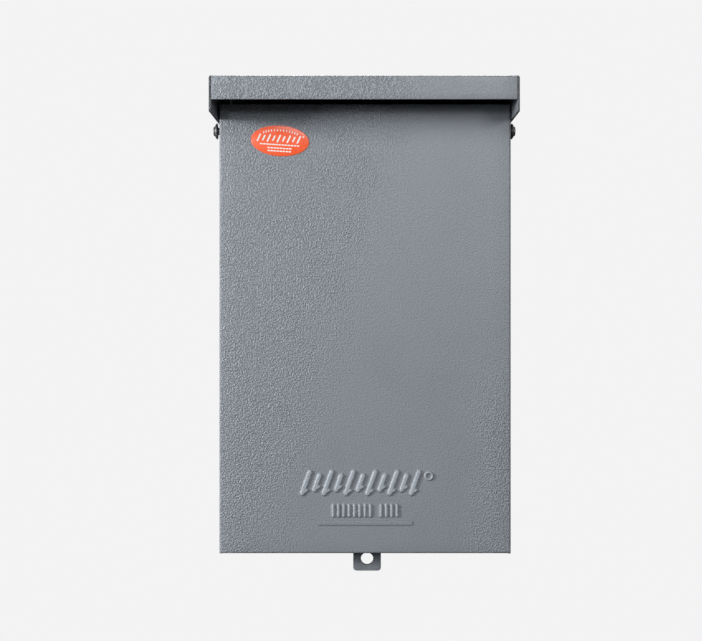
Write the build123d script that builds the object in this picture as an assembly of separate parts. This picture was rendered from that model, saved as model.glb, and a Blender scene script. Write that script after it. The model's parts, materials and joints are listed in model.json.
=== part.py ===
from build123d import *
import math
import os

# Weatherproof pull-out disconnect box. Millimetres, +Z up, front towards -Y.
# The origin is on the wall, at the middle of the box's height and width.

# --- Sheet metal enclosure -------------------------------------------------
SHEET = 1.2            # steel sheet thickness
BOX_WIDTH = 157.0      # outside of the side walls
BOX_HEIGHT = 258.0     # top of the hood to the bottom edge of the cover
BOX_DEPTH = 88.0       # wall face to the front edges of the side walls
COVER_FRONT_GAP = 0.8  # front edges of the side walls to the inside of the cover
COVER_SIDE_GAP = 0.55  # side walls to the inside of the cover's flanges
COVER_BASE_GAP = 0.8   # bottom plate to the cover's bottom flange
BEND = 1.0             # outside radius of the folds
HOOD_OVERHANG = 24.0   # hood lip in front of the cover
HOOD_LIP = 12.7
HOOD_CHEEK = 19.0
HOOD_SIDE_GAP = 0.8    # cover flanges to the inside of the cheeks
COVER_TOP_GAP = 11.0   # top of the hood to the top edge of the cover
COVER_FLANGE = 30.0    # depth of the cover's side flanges
COVER_CHAMFER = 14.0
COVER_SHIFT = 0.4      # the cover hangs this far to the right in its side play
TOP_FLANGE = 11.0      # inward flanges that carry the hood
TOP_FLANGE_GAP = 4.0   # back of the hinge notch to the top flanges
PLATE_FLANGE = 12.0    # upstanding flanges of the bottom plate

# --- Hinge -----------------------------------------------------------------
HINGE_DROP = 24.5      # top of the hood to the hinge axis
HINGE_INSET = 8.0      # front of the cover to the hinge axis
HINGE_R = 2.0          # shoulder of the hinge screws
RUN_FIT = 0.05
HINGE_PLAY = 1.5       # cover flange to the washer
WASHER_R = 4.4
WASHER_THICK = 1.2
HINGE_HEAD_R = 2.7
HINGE_HEAD = 1.0
NUT_FLATS = 7.0
NUT_THICK = 3.2
LUG_REACH = 6.0        # metal round each pivot hole in the side walls
SWING_GAP = 2.0        # notch floor above the hinge axis
NOTCH_BACK = 17.0      # notch behind the hinge axis

# --- Hasp ------------------------------------------------------------------
HASP_INSET = 14.0      # front of the cover to the front of its tab
HASP_WIDTH = 15.6
HASP_DROP = 12.7
HASP_HOLE_R = 3.5
HASP_HOLE_DROP = 6.0
HASP_GAP = 0.4
HASP_CORNER = 1.8
HASP_NOTCH_GAP = 1.0
HASP_SHIFT = 1.5       # middle of the box to the middle of the hasp

# --- Marks on the cover ----------------------------------------------------
MARK_RELIEF = 0.8
STROKE_COUNT = 11
STROKE_BAND = 66.0
STROKE_TALL = 15.0
STROKE_WIDE = 2.4
STROKE_LEAN = 20.0
STROKE_STEP = 0.28     # share by which every second stroke is shorter
MARK_RISE = 39.0       # bottom edge of the cover to the middle of the strokes
MARK_SHIFT = -2.4
HOOK_ACROSS = 2.6      # foot of a stroke to the end of its hook
HOOK_UP = 1.8
HOOK_WIDE = 1.5
RING_R = 2.5
RING_HOLE_R = 1.5
RING_SHIFT = 35.0
RING_RISE = 42.75
POST_MARK_RISE = 23.7
POST_MARK_BAND = 38.0
POST_MARK_COUNT = 13
POST_MARK_GAP = 8      # this one is left out
POST_MARK_TALL = 7.2
POST_MARK_WIDE = 1.5
BAR_RISE = 16.8
BAR_WIDE = 53.0
BAR_TALL = 2.4
BAR_RELIEF = 0.25
BADGE_WIDE = 32.0
BADGE_HIGH = 16.8
BADGE_THICK = 0.3
BADGE_SHIFT = -46.8
BADGE_DROP = 31.0
BADGE_TILT = -3.7
LABEL_WIDE = 104.0
LABEL_HIGH = 120.0
LABEL_THICK = 0.2

# --- Wall screws and knockouts ---------------------------------------------
WALL_SCREW_X = 120.0
WALL_SCREW_INSET = 29.0    # top and bottom of the box to the wall screws
WALL_HOLE_R = 3.2
KNOCK_R = 11.1
KNOCK_OUTER_R = 14.3
KNOCK_SLIT = 0.5
KNOCK_TIE = 2.0
KNOCK_SPACING = 76.0
SMALL_KNOCK_R = 6.4
KNOCK_RISE = 34.0      # bottom edge of the cover to the side and back knockouts
SIDE_KNOCK_OUT = 31.7  # wall face to the side knockouts
FLOOR_KNOCK_OUT = 39.6 # wall face to the bottom knockouts

# --- Rivets ----------------------------------------------------------------
RIVET_R = 1.6
RIVET_HEAD_R = 3.2
RIVET_HEAD = 1.0
RIVET_TAIL_R = 2.3
RIVET_CROWN = 0.6      # rounding of the head's rim
RIVET_INSET = 38.0     # front edges of the side walls to the front rivets
RIVET_BACK = 18.0      # wall face to the back rivets
RIVET_RISE = 7.0

# --- Switch base -----------------------------------------------------------
BASE_MARGIN = 19.0     # side of the pull-out head to the side of the base
BASE_HEIGHT = 112.0
BASE_DROP = 107.0      # top of the hood to the middle of the base
BASE_CORNER = 3.0
BASE_DEPTH = 26.8      # back panel to the deck
BASE_FLOOR = 5.6
POLE_SPACING = 48.0
SLOT_WIDTH = 11.0
SLOT_HEIGHT = 56.0
POCKET_WIDTH = 19.0
RIB_WIDTH = 5.0
RIB_HEIGHT = 16.0
RIB_LONG = 26.0
GUIDE_THICK = 3.0
GUIDE_HEIGHT = 14.0
POST_R = 4.5
POST_INSET_X = 6.0     # edges of the dead front to the middle of each post
POST_INSET_Z = 5.0
BASE_SCREW_GAP = 4.1   # guide to the head of each base screw
SCREW_TIP = 0.2        # screw ends to the wall face
SCREW_HEAD_R = 3.4
SCREW_HEAD = 1.8
SCREW_R = 1.7
DRIVE_SLOT = 0.8

# --- Contacts and lugs -----------------------------------------------------
STRAP_THICK = 1.2
STRAP_WIDTH = 8.0
STRAP_REACH = 50.0     # middle of the base to the end of each strap
BLADE_THICK = 1.6
BLADE_FIT = 0.05
JAW_HEIGHT = 12.0
JAW_REACH = 20.0       # middle of the base to the outer end of each jaw
JAW_DEPTH = 16.0
SPRING_THICK = 0.6
SPRING_HEIGHT = 7.0
SPRING_SHORT = 2.0     # jaw tips to the spring tips
CONTACT_SCREW_REACH = 25.5
CONTACT_SCREW_DEEP = 3.9   # into the floor of the base
LUG_WIDTH = 16.0
LUG_HEIGHT = 16.0
LUG_DEPTH = 18.0
LUG_BORE_R = 4.0
LUG_FLOOR = 3.0
LUG_CORNER = 2.0
LUG_SCREW_R = 3.5
LUG_SCREW_STAND = 2.0
HEX_FLATS = 3.2
HEX_DEEP = 3.0

# --- Pull-out --------------------------------------------------------------
HEAD_WIDTH = 66.0
HEAD_HEIGHT = 44.0
HEAD_THICK = 13.0
HEAD_CORNER = 2.5
HEAD_GAP = 1.0         # deck to the back of the head
HEAD_SIDE_GAP = 0.5
GRIP_WIDTH = 50.0
GRIP_HEIGHT = 12.0
GRIP_REACH = 24.0      # front of the head to the front of the grip
GRIP_POST = 8.0
GRIP_BAR = 7.0
BLADE_OUT = 14.5       # back of the head to the tips of the blades
BLADE_ROOT = 9.0
BLADE_HEIGHT = 41.0
BLADE_LEAD = 0.5
FOOT_WIDTH = 9.0
BLADE_SCREW_Z = 26.0
BLADE_SCREW_R = 1.4
BLADE_SCREW_HEAD_R = 2.2
BLADE_SCREW_HEAD = 0.9
BLADE_SCREW_LONG = 7.0

# --- Dead front ------------------------------------------------------------
SHIELD_THICK = 1.5
SHIELD_INSET = 2.0     # edges of the base to the edges of the shield
SHIELD_STAND = 17.0    # deck to the back of the shield
SHIELD_HEAD_GAP = 2.0
SHIELD_ACCESS_R = 5.0
SHIELD_CORNER = 4.0
SHIELD_SCREW_LONG = 10.0

# --- Ground bar ------------------------------------------------------------
GROUND_LONG = 54.0
GROUND_HIGH = 10.0
GROUND_DEEP = 9.0
GROUND_SIDE_GAP = 12.3 # left wall to the end of the bar
GROUND_RISE = 51.0     # bottom edge of the cover to the middle of the bar
GROUND_WIRES = 4
GROUND_END = 5.0       # end of the bar to its mounting screw
GROUND_PITCH = 8.5
GROUND_WIRE_R = 2.3
GROUND_WIRE_WALL = 1.4
GROUND_SCREW_R = 2.0
GROUND_SCREW_HEAD = 2.5
GROUND_SCREW_HEAD_R = 3.2
GROUND_SCREW_STAND = 0.8   # bar to the seat of each wire screw
SCREW_SHY = 0.6        # tip of a clamp screw to the wire's bore

# --- Places worked out from the sizes --------------------------------------
TOP = BOX_HEIGHT / 2
BOTTOM = -BOX_HEIGHT / 2
HOOD_UNDER = TOP - SHEET
WALL_OUT = BOX_WIDTH / 2
WALL_IN = WALL_OUT - SHEET
COVER_IN = WALL_OUT + COVER_SIDE_GAP
COVER_OUT = COVER_IN + SHEET
CHEEK_IN = COVER_OUT + HOOD_SIDE_GAP
CHEEK_OUT = CHEEK_IN + SHEET
COVER_BACK = -BOX_DEPTH - COVER_FRONT_GAP
COVER_FRONT = COVER_BACK - SHEET
COVER_TOP = TOP - COVER_TOP_GAP
PLATE_UNDER = BOTTOM + SHEET + COVER_BASE_GAP
PLATE_TOP = PLATE_UNDER + SHEET
HINGE_Y = COVER_FRONT + HINGE_INSET
HINGE_Z = TOP - HINGE_DROP
LIP_FRONT = COVER_FRONT - HOOD_OVERHANG
TAB_FRONT = COVER_FRONT + HASP_INSET
TAB_BACK = TAB_FRONT + SHEET
TAB_LOW = BOTTOM - HASP_DROP
TAB_HOLE_Z = BOTTOM - HASP_HOLE_DROP
BODY_TAB_FRONT = TAB_BACK + HASP_GAP
RIVET_ROWS = (RIVET_INSET - BOX_DEPTH, -RIVET_BACK)
KNOCK_Z = BOTTOM + KNOCK_RISE
WALL_SCREW_Z = TOP - WALL_SCREW_INSET
BASE_Z = TOP - BASE_DROP
DECK = -SHEET - BASE_DEPTH
BASE_WIDTH = HEAD_WIDTH + 2 * BASE_MARGIN
SHIELD_WIDTH = BASE_WIDTH - 2 * SHIELD_INSET
SHIELD_HEIGHT = BASE_HEIGHT - 2 * SHIELD_INSET
POST_X = SHIELD_WIDTH / 2 - POST_INSET_X
POST_Z = SHIELD_HEIGHT / 2 - POST_INSET_Z
GUIDE_OUT = HEAD_WIDTH / 2 + HEAD_SIDE_GAP + GUIDE_THICK
BASE_SCREW_X = GUIDE_OUT + BASE_SCREW_GAP + SCREW_HEAD_R
FLOOR = -SHEET - BASE_FLOOR
POLES = (-POLE_SPACING / 2, POLE_SPACING / 2)
HEAD_BACK = DECK - HEAD_GAP
HEAD_FRONT = HEAD_BACK - HEAD_THICK
SHIELD_BACK = DECK - SHIELD_STAND
SHIELD_FRONT = SHIELD_BACK - SHIELD_THICK
LUG_BACK = FLOOR - STRAP_THICK
LUG_FRONT = LUG_BACK - LUG_DEPTH
LUG_BORE_Y = LUG_BACK - LUG_FLOOR - LUG_BORE_R
LUG_MIDDLE = STRAP_REACH - LUG_HEIGHT / 2 - SHEET
GROUND_FRONT = -SHEET - GROUND_DEEP
GROUND_BORE_Y = -SHEET - GROUND_WIRE_WALL - GROUND_WIRE_R
GROUND_X = GROUND_SIDE_GAP + GROUND_LONG / 2 - WALL_IN
GROUND_Z = BOTTOM + GROUND_RISE
BOTH = (-1, 1)


# --- Helpers ---------------------------------------------------------------
def block(x0, x1, y0, y1, z0, z1):
    """Rectangular solid between two corners."""
    size = Box(abs(x1 - x0), abs(y1 - y0), abs(z1 - z0))
    return Pos((x0 + x1) / 2, (y0 + y1) / 2, (z0 + z1) / 2) * size


def rod(radius, start, end):
    """Round bar from one point to another along a main axis."""
    middle = [(a + b) / 2 for a, b in zip(start, end)]
    spans = [abs(b - a) for a, b in zip(start, end)]
    along = spans.index(max(spans))
    turn = (Rot(0, 90, 0), Rot(90, 0, 0), Rot(0, 0, 0))[along]
    return Pos(*middle) * turn * Cylinder(radius, spans[along])


def front_shape(sketch, y_back, depth):
    """Flat outline seen from the front, grown forwards from y_back."""
    plane = Plane((0, y_back, 0), x_dir=(1, 0, 0), z_dir=(0, -1, 0))
    return extrude(plane * sketch, depth)


def group(solids):
    """Several like solids kept apart in one node."""
    return Compound(children=list(solids))


def knock_slits(radius):
    """Two arcs of slit, seen flat, that leave a pair of ties."""
    ring = Circle(radius) - Circle(radius - KNOCK_SLIT)
    return ring - Rectangle(KNOCK_TIE, 3 * radius)


def knockout(radii, place):
    """Cutters for a knockout whose axis is the local Z of place."""
    return [extrude(place * knock_slits(r), SHEET, both=True) for r in radii]


def rivet(x, y, z, direction, grip):
    """Low round head, shank and tail. direction points from tail to head."""
    turn = Location(Plane((x, y, z), z_dir=direction))
    head = Pos(0, 0, RIVET_HEAD / 2) * Cylinder(RIVET_HEAD_R, RIVET_HEAD)
    head = fillet(head.edges().group_by(Axis.Z)[-1], RIVET_CROWN)
    shank = Pos(0, 0, -grip / 2) * Cylinder(RIVET_R, grip)
    tail = Pos(0, 0, -grip - RIVET_HEAD / 2) * Cylinder(RIVET_TAIL_R, RIVET_HEAD)
    return turn * (head + shank + tail)


def front_screw(x, z, seat, head_r, head, radius, depth):
    """Screw driven from the front: its head sits on the plane y = seat."""
    body = rod(head_r, (x, seat - head, z), (x, seat, z))
    body += rod(radius, (x, seat, z), (x, seat + depth, z))
    half = DRIVE_SLOT / 2
    return body - block(x - head_r, x + head_r, seat - head, seat - head / 2, z - half, z + half)


# --- Enclosure -------------------------------------------------------------
def make_back_box():
    walls = block(-WALL_OUT, WALL_OUT, -BOX_DEPTH, 0, PLATE_UNDER, HOOD_UNDER)
    walls -= block(-WALL_IN, WALL_IN, -BOX_DEPTH, -SHEET, PLATE_UNDER, HOOD_UNDER)
    # The cover's top edge swings back through this corner of the walls.
    notch_back = HINGE_Y + NOTCH_BACK
    walls -= block(-WALL_OUT, WALL_OUT, -BOX_DEPTH, notch_back, HINGE_Z + SWING_GAP, HOOD_UNDER)
    for side in BOTH:
        start = (side * WALL_IN, HINGE_Y, HINGE_Z)
        end = (side * WALL_OUT, HINGE_Y, HINGE_Z)
        walls += rod(LUG_REACH, start, end)
        walls -= rod(HINGE_R, start, end)
        edge = side * (WALL_IN - TOP_FLANGE)
        flange_front = notch_back + TOP_FLANGE_GAP
        walls += block(edge, side * WALL_IN, flange_front, -SHEET, HOOD_UNDER - SHEET, HOOD_UNDER)
        for y in RIVET_ROWS:
            x = side * (WALL_IN - TOP_FLANGE / 2)
            walls -= rod(RIVET_R, (x, y, HOOD_UNDER - SHEET), (x, y, HOOD_UNDER))
            z = PLATE_TOP + RIVET_RISE
            walls -= rod(RIVET_R, (side * WALL_IN, y, z), (side * WALL_OUT, y, z))
        middle = Location(((WALL_IN + WALL_OUT) / 2 * side, -SIDE_KNOCK_OUT, KNOCK_Z))
        for slit in knockout((KNOCK_R, KNOCK_OUTER_R), middle * Rot(0, 90, 0)):
            walls -= slit
        for z in BOTH:
            x = side * WALL_SCREW_X / 2
            at = z * WALL_SCREW_Z
            walls -= rod(WALL_HOLE_R, (x, -SHEET, at), (x, 0, at))
        x = side * BASE_SCREW_X
        walls -= rod(SCREW_R, (x, -SHEET, BASE_Z), (x, 0, BASE_Z))
        x = GROUND_X + side * (GROUND_LONG / 2 - GROUND_END)
        walls -= rod(GROUND_SCREW_R, (x, -SHEET, GROUND_Z), (x, 0, GROUND_Z))
    back = Location((0, -SHEET / 2, KNOCK_Z))
    for slit in knockout((KNOCK_R, KNOCK_OUTER_R), back * Rot(90, 0, 0)):
        walls -= slit
    return walls


def make_bottom_plate():
    front = -BOX_DEPTH
    back = -SHEET
    plate = block(-WALL_IN, WALL_IN, front, back, PLATE_UNDER, PLATE_TOP + PLATE_FLANGE)
    inner = (-WALL_IN + SHEET, WALL_IN - SHEET, front + SHEET, back - SHEET)
    plate -= block(*inner, PLATE_TOP, PLATE_TOP + PLATE_FLANGE)
    notch = HASP_WIDTH / 2 + HASP_NOTCH_GAP
    notch_x = (HASP_SHIFT - notch, HASP_SHIFT + notch)
    plate -= block(*notch_x, front, BODY_TAB_FRONT, PLATE_UNDER, PLATE_TOP + PLATE_FLANGE)
    plate += hasp_tab(BODY_TAB_FRONT, PLATE_TOP)
    floor = Location((0, -FLOOR_KNOCK_OUT, (PLATE_UNDER + PLATE_TOP) / 2))
    for side in BOTH:
        place = floor * Pos(side * KNOCK_SPACING / 2, 0, 0)
        for slit in knockout((KNOCK_R, KNOCK_OUTER_R), place):
            plate -= slit
        for y in RIVET_ROWS:
            z = PLATE_TOP + RIVET_RISE
            plate -= rod(RIVET_R, (side * (WALL_IN - SHEET), y, z), (side * WALL_IN, y, z))
    for slit in knockout((SMALL_KNOCK_R,), floor):
        plate -= slit
    return plate


def hasp_tab(y_front, z_top):
    """Half of the hasp: a tongue with a padlock hole."""
    half = HASP_WIDTH / 2
    tab = block(HASP_SHIFT - half, HASP_SHIFT + half, y_front, y_front + SHEET, TAB_LOW, z_top)
    corners = tab.edges().filter_by(Axis.Y).group_by(Axis.Z)[0]
    tab = fillet(corners, HASP_CORNER)
    start = (HASP_SHIFT, y_front, TAB_HOLE_Z)
    return tab - rod(HASP_HOLE_R, start, (HASP_SHIFT, y_front + SHEET, TAB_HOLE_Z))


def make_rain_hood():
    hood = block(-CHEEK_OUT, CHEEK_OUT, LIP_FRONT, 0, TOP - HOOD_CHEEK, TOP)
    hood = fillet(hood.edges().filter_by(Axis.Y).group_by(Axis.Z)[-1], BEND)
    hood = fillet(hood.edges().group_by(Axis.Y)[0].group_by(Axis.Z)[-1], BEND)
    hood -= block(-CHEEK_IN, CHEEK_IN, LIP_FRONT + SHEET, 0, TOP - HOOD_CHEEK, HOOD_UNDER)
    hood -= block(-CHEEK_IN, CHEEK_IN, LIP_FRONT, LIP_FRONT + SHEET, TOP - HOOD_CHEEK, TOP - HOOD_LIP)
    for side in BOTH:
        for y in RIVET_ROWS:
            x = side * (WALL_IN - TOP_FLANGE / 2)
            hood -= rod(RIVET_R, (x, y, HOOD_UNDER), (x, y, TOP))
    return hood


def make_rivets():
    hood = []
    bottom = []
    for side in BOTH:
        for y in RIVET_ROWS:
            hood.append(rivet(side * (WALL_IN - TOP_FLANGE / 2), y, TOP, (0, 0, 1), 2 * SHEET))
            z = PLATE_TOP + RIVET_RISE
            bottom.append(rivet(side * WALL_OUT, y, z, (side, 0, 0), 2 * SHEET))
    return group(hood), group(bottom)


def make_hinge_parts():
    screws = []
    washers = []
    nuts = []
    washer_in = COVER_OUT + HINGE_PLAY
    head_in = washer_in + WASHER_THICK
    nut_end = WALL_IN - NUT_THICK
    for side in BOTH:
        def spot(x):
            return (side * x, HINGE_Y, HINGE_Z)
        screw = rod(HINGE_R, spot(nut_end), spot(head_in))
        head = rod(HINGE_HEAD_R, spot(head_in), spot(head_in + HINGE_HEAD))
        screws.append(screw + head)
        washer = rod(WASHER_R, spot(washer_in), spot(head_in))
        washers.append(washer - rod(HINGE_R, spot(washer_in), spot(head_in)))
        facing = Plane(spot(nut_end), z_dir=(side, 0, 0))
        hexagon = facing * RegularPolygon(NUT_FLATS / 2, 6, major_radius=False)
        nut = extrude(hexagon, NUT_THICK)
        nuts.append(nut - rod(HINGE_R, spot(nut_end), spot(WALL_IN)))
    return group(screws), group(washers), group(nuts)


# --- Cover -----------------------------------------------------------------
def make_cover():
    flange_back = COVER_FRONT + COVER_FLANGE
    cover = block(-COVER_OUT, COVER_OUT, COVER_FRONT, flange_back, BOTTOM, COVER_TOP)
    front_edges = cover.edges().group_by(Axis.Y)[0]
    cover = fillet(front_edges.filter_by(Axis.Z) + front_edges.group_by(Axis.Z)[0], BEND)
    cover -= block(-COVER_IN, COVER_IN, COVER_BACK, flange_back, BOTTOM + SHEET, COVER_TOP)
    cover -= block(-COVER_IN, COVER_IN, TAB_FRONT, flange_back, BOTTOM, BOTTOM + SHEET)
    corner = Polyline(
        (flange_back, COVER_TOP - 2 * COVER_CHAMFER),
        (flange_back - COVER_CHAMFER, COVER_TOP),
        (flange_back, COVER_TOP),
        close=True,
    )
    wedge = extrude(Plane.YZ * make_face(corner), COVER_OUT, both=True)
    cover -= wedge
    for side in BOTH:
        start = (side * COVER_IN, HINGE_Y, HINGE_Z)
        cover -= rod(HINGE_R + RUN_FIT, start, (side * COVER_OUT, HINGE_Y, HINGE_Z))
    for mark in make_marks():
        cover += mark
    return Pos(COVER_SHIFT, 0, 0) * cover + hasp_tab(TAB_FRONT, BOTTOM + SHEET)


def make_marks():
    """Raised shapes with no words: hooked strokes, a ring, upright strokes and a bar."""
    marks = []
    root = COVER_FRONT + SHEET / 2
    depth = SHEET / 2 + MARK_RELIEF
    pitch = STROKE_BAND / STROKE_COUNT
    lean = math.radians(STROKE_LEAN)
    hook_turn = math.degrees(math.atan2(HOOK_UP, HOOK_ACROSS))
    hook_long = math.hypot(HOOK_ACROSS, HOOK_UP) + HOOK_WIDE
    for i in range(STROKE_COUNT):
        tall = STROKE_TALL * (1.0 - STROKE_STEP * (i % 2))
        x = MARK_SHIFT + (i - (STROKE_COUNT - 1) / 2) * pitch
        z = BOTTOM + MARK_RISE
        stroke = Pos(x, z) * SlotOverall(tall, STROKE_WIDE, rotation=90 - STROKE_LEAN)
        foot = (tall - STROKE_WIDE) / 2
        hook_x = x - foot * math.sin(lean) + HOOK_ACROSS / 2
        hook_z = z - foot * math.cos(lean) + HOOK_UP / 2
        hook = Pos(hook_x, hook_z) * SlotOverall(hook_long, HOOK_WIDE, rotation=hook_turn)
        marks.append(front_shape(stroke + hook, root, depth))
    ring = Circle(RING_R) - Circle(RING_HOLE_R)
    marks.append(front_shape(Pos(RING_SHIFT, BOTTOM + RING_RISE) * ring, root, depth))
    step = POST_MARK_BAND / POST_MARK_COUNT
    for i in range(POST_MARK_COUNT):
        if i != POST_MARK_GAP:
            x = (i - (POST_MARK_COUNT - 1) / 2) * step
            post = SlotOverall(POST_MARK_TALL, POST_MARK_WIDE, rotation=90)
            marks.append(front_shape(Pos(x, BOTTOM + POST_MARK_RISE) * post, root, depth))
    bar = Pos(0, BOTTOM + BAR_RISE) * SlotOverall(BAR_WIDE, BAR_TALL)
    marks.append(front_shape(bar, root, SHEET / 2 + BAR_RELIEF))
    return marks


def make_badge():
    oval = Rot(0, 0, BADGE_TILT) * Ellipse(BADGE_WIDE / 2, BADGE_HIGH / 2)
    return front_shape(Pos(COVER_SHIFT + BADGE_SHIFT, TOP - BADGE_DROP) * oval, COVER_FRONT, BADGE_THICK)


def make_inner_label():
    left = COVER_SHIFT - LABEL_WIDE / 2
    back = COVER_BACK + LABEL_THICK
    return block(left, left + LABEL_WIDE, COVER_BACK, back, -LABEL_HIGH / 2, LABEL_HIGH / 2)


# --- Switch base -----------------------------------------------------------
def make_switch_base():
    half_w = BASE_WIDTH / 2
    half_h = BASE_HEIGHT / 2
    base = block(-half_w, half_w, DECK, -SHEET, BASE_Z - half_h, BASE_Z + half_h)
    base = fillet(base.edges().filter_by(Axis.Y), BASE_CORNER)
    for x in POLES:
        slot = SLOT_WIDTH / 2
        reach = SLOT_HEIGHT / 2
        base -= block(x - slot, x + slot, DECK, FLOOR, BASE_Z - reach, BASE_Z + reach)
        pocket = POCKET_WIDTH / 2
        for end in BOTH:
            z0 = BASE_Z + end * reach
            z1 = BASE_Z + end * half_h
            base -= block(x - pocket, x + pocket, DECK, FLOOR, z0, z1)
            hole_z = BASE_Z + end * CONTACT_SCREW_REACH
            base -= rod(SCREW_R, (x, FLOOR, hole_z), (x, FLOOR + CONTACT_SCREW_DEEP, hole_z))
    for end in BOTH:
        z0 = BASE_Z + end * (half_h - RIB_LONG)
        z1 = BASE_Z + end * half_h
        base += block(-RIB_WIDTH / 2, RIB_WIDTH / 2, DECK - RIB_HEIGHT, DECK, z0, z1)
    for side in BOTH:
        x0 = side * (GUIDE_OUT - GUIDE_THICK)
        x1 = side * GUIDE_OUT
        half = HEAD_HEIGHT / 2
        base += block(x0, x1, DECK - GUIDE_HEIGHT, DECK, BASE_Z - half, BASE_Z + half)
        for end in BOTH:
            x = side * POST_X
            z = BASE_Z + end * POST_Z
            base += rod(POST_R, (x, SHIELD_BACK, z), (x, DECK, z))
            base -= rod(SCREW_R, (x, SHIELD_BACK, z), (x, DECK, z))
        x = side * BASE_SCREW_X
        base -= rod(SCREW_R, (x, DECK, BASE_Z), (x, -SHEET, BASE_Z))
    return base


def make_shield():
    """Dead front that covers the live lugs, with a window for the pull-out."""
    half_w = SHIELD_WIDTH / 2
    half_h = SHIELD_HEIGHT / 2
    plate = block(-half_w, half_w, SHIELD_FRONT, SHIELD_BACK, BASE_Z - half_h, BASE_Z + half_h)
    plate = fillet(plate.edges().filter_by(Axis.Y), SHIELD_CORNER)
    x = HEAD_WIDTH / 2 + SHIELD_HEAD_GAP
    z = HEAD_HEIGHT / 2 + SHIELD_HEAD_GAP
    plate -= block(-x, x, SHIELD_FRONT, SHIELD_BACK, BASE_Z - z, BASE_Z + z)
    screws = []
    for end in BOTH:
        for pole in POLES:
            z = BASE_Z + end * LUG_MIDDLE
            plate -= rod(SHIELD_ACCESS_R, (pole, SHIELD_FRONT, z), (pole, SHIELD_BACK, z))
        for side in BOTH:
            x = side * POST_X
            z = BASE_Z + end * POST_Z
            plate -= rod(SCREW_R, (x, SHIELD_FRONT, z), (x, SHIELD_BACK, z))
            sizes = (SCREW_HEAD_R, SCREW_HEAD, SCREW_R, SHIELD_SCREW_LONG)
            screws.append(front_screw(x, z, SHIELD_FRONT, *sizes))
    return plate, group(screws)


def make_base_screws():
    screws = []
    for side in BOTH:
        depth = BASE_DEPTH + SHEET - SCREW_TIP
        x = side * BASE_SCREW_X
        screws.append(front_screw(x, BASE_Z, DECK, SCREW_HEAD_R, SCREW_HEAD, SCREW_R, depth))
    return group(screws)


# --- Contacts and lugs -----------------------------------------------------
def make_contacts(end):
    """Strap, spring jaw, jaw springs and screws of both poles at one end."""
    straps = []
    springs = []
    screws = []
    leaf_in = BLADE_THICK / 2 + BLADE_FIT
    leaf_out = leaf_in + STRAP_THICK
    jaw_near = BASE_Z + end * (JAW_REACH - JAW_HEIGHT)
    jaw_far = BASE_Z + end * JAW_REACH
    strap_end = BASE_Z + end * STRAP_REACH
    spring_low = BASE_Z + end * (JAW_REACH - (JAW_HEIGHT + SPRING_HEIGHT) / 2)
    spring_high = spring_low + end * SPRING_HEIGHT
    jaw_front = LUG_BACK - JAW_DEPTH
    for x in POLES:
        half = STRAP_WIDTH / 2
        strap = block(x - half, x + half, LUG_BACK, FLOOR, jaw_near, strap_end)
        for side in BOTH:
            inner = x + side * leaf_in
            outer = x + side * leaf_out
            strap += block(inner, outer, jaw_front, LUG_BACK, jaw_near, jaw_far)
            skin = outer + side * SPRING_THICK
            springs.append(block(outer, skin, jaw_front + SPRING_SHORT, LUG_BACK, spring_low, spring_high))
        hole_z = BASE_Z + end * CONTACT_SCREW_REACH
        strap -= rod(SCREW_R, (x, LUG_BACK, hole_z), (x, FLOOR, hole_z))
        straps.append(strap)
        depth = STRAP_THICK + CONTACT_SCREW_DEEP
        screws.append(front_screw(x, hole_z, LUG_BACK, SCREW_HEAD_R, SCREW_HEAD, SCREW_R, depth))
    return group(straps), springs, screws


def make_lugs(end):
    """Box lugs of both poles at one end, and their clamp screws."""
    lugs = []
    screws = []
    z = BASE_Z + end * LUG_MIDDLE
    half = LUG_HEIGHT / 2
    bore_wall = LUG_BORE_Y - LUG_BORE_R
    for x in POLES:
        lug = block(x - LUG_WIDTH / 2, x + LUG_WIDTH / 2, LUG_FRONT, LUG_BACK, z - half, z + half)
        lug = fillet(lug.edges().filter_by(Axis.Z).group_by(Axis.Y)[0], LUG_CORNER)
        lug -= rod(LUG_BORE_R, (x, LUG_BORE_Y, z - half), (x, LUG_BORE_Y, z + half))
        lug -= rod(LUG_SCREW_R, (x, LUG_FRONT, z), (x, LUG_BORE_Y, z))
        lugs.append(lug)
        tip = LUG_FRONT - LUG_SCREW_STAND
        screw = rod(LUG_SCREW_R, (x, tip, z), (x, bore_wall - SCREW_SHY, z))
        socket = Plane((x, tip, z), z_dir=(0, 1, 0)) * RegularPolygon(HEX_FLATS / 2, 6, major_radius=False)
        screws.append(screw - extrude(socket, HEX_DEEP))
    return group(lugs), group(screws)


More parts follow.
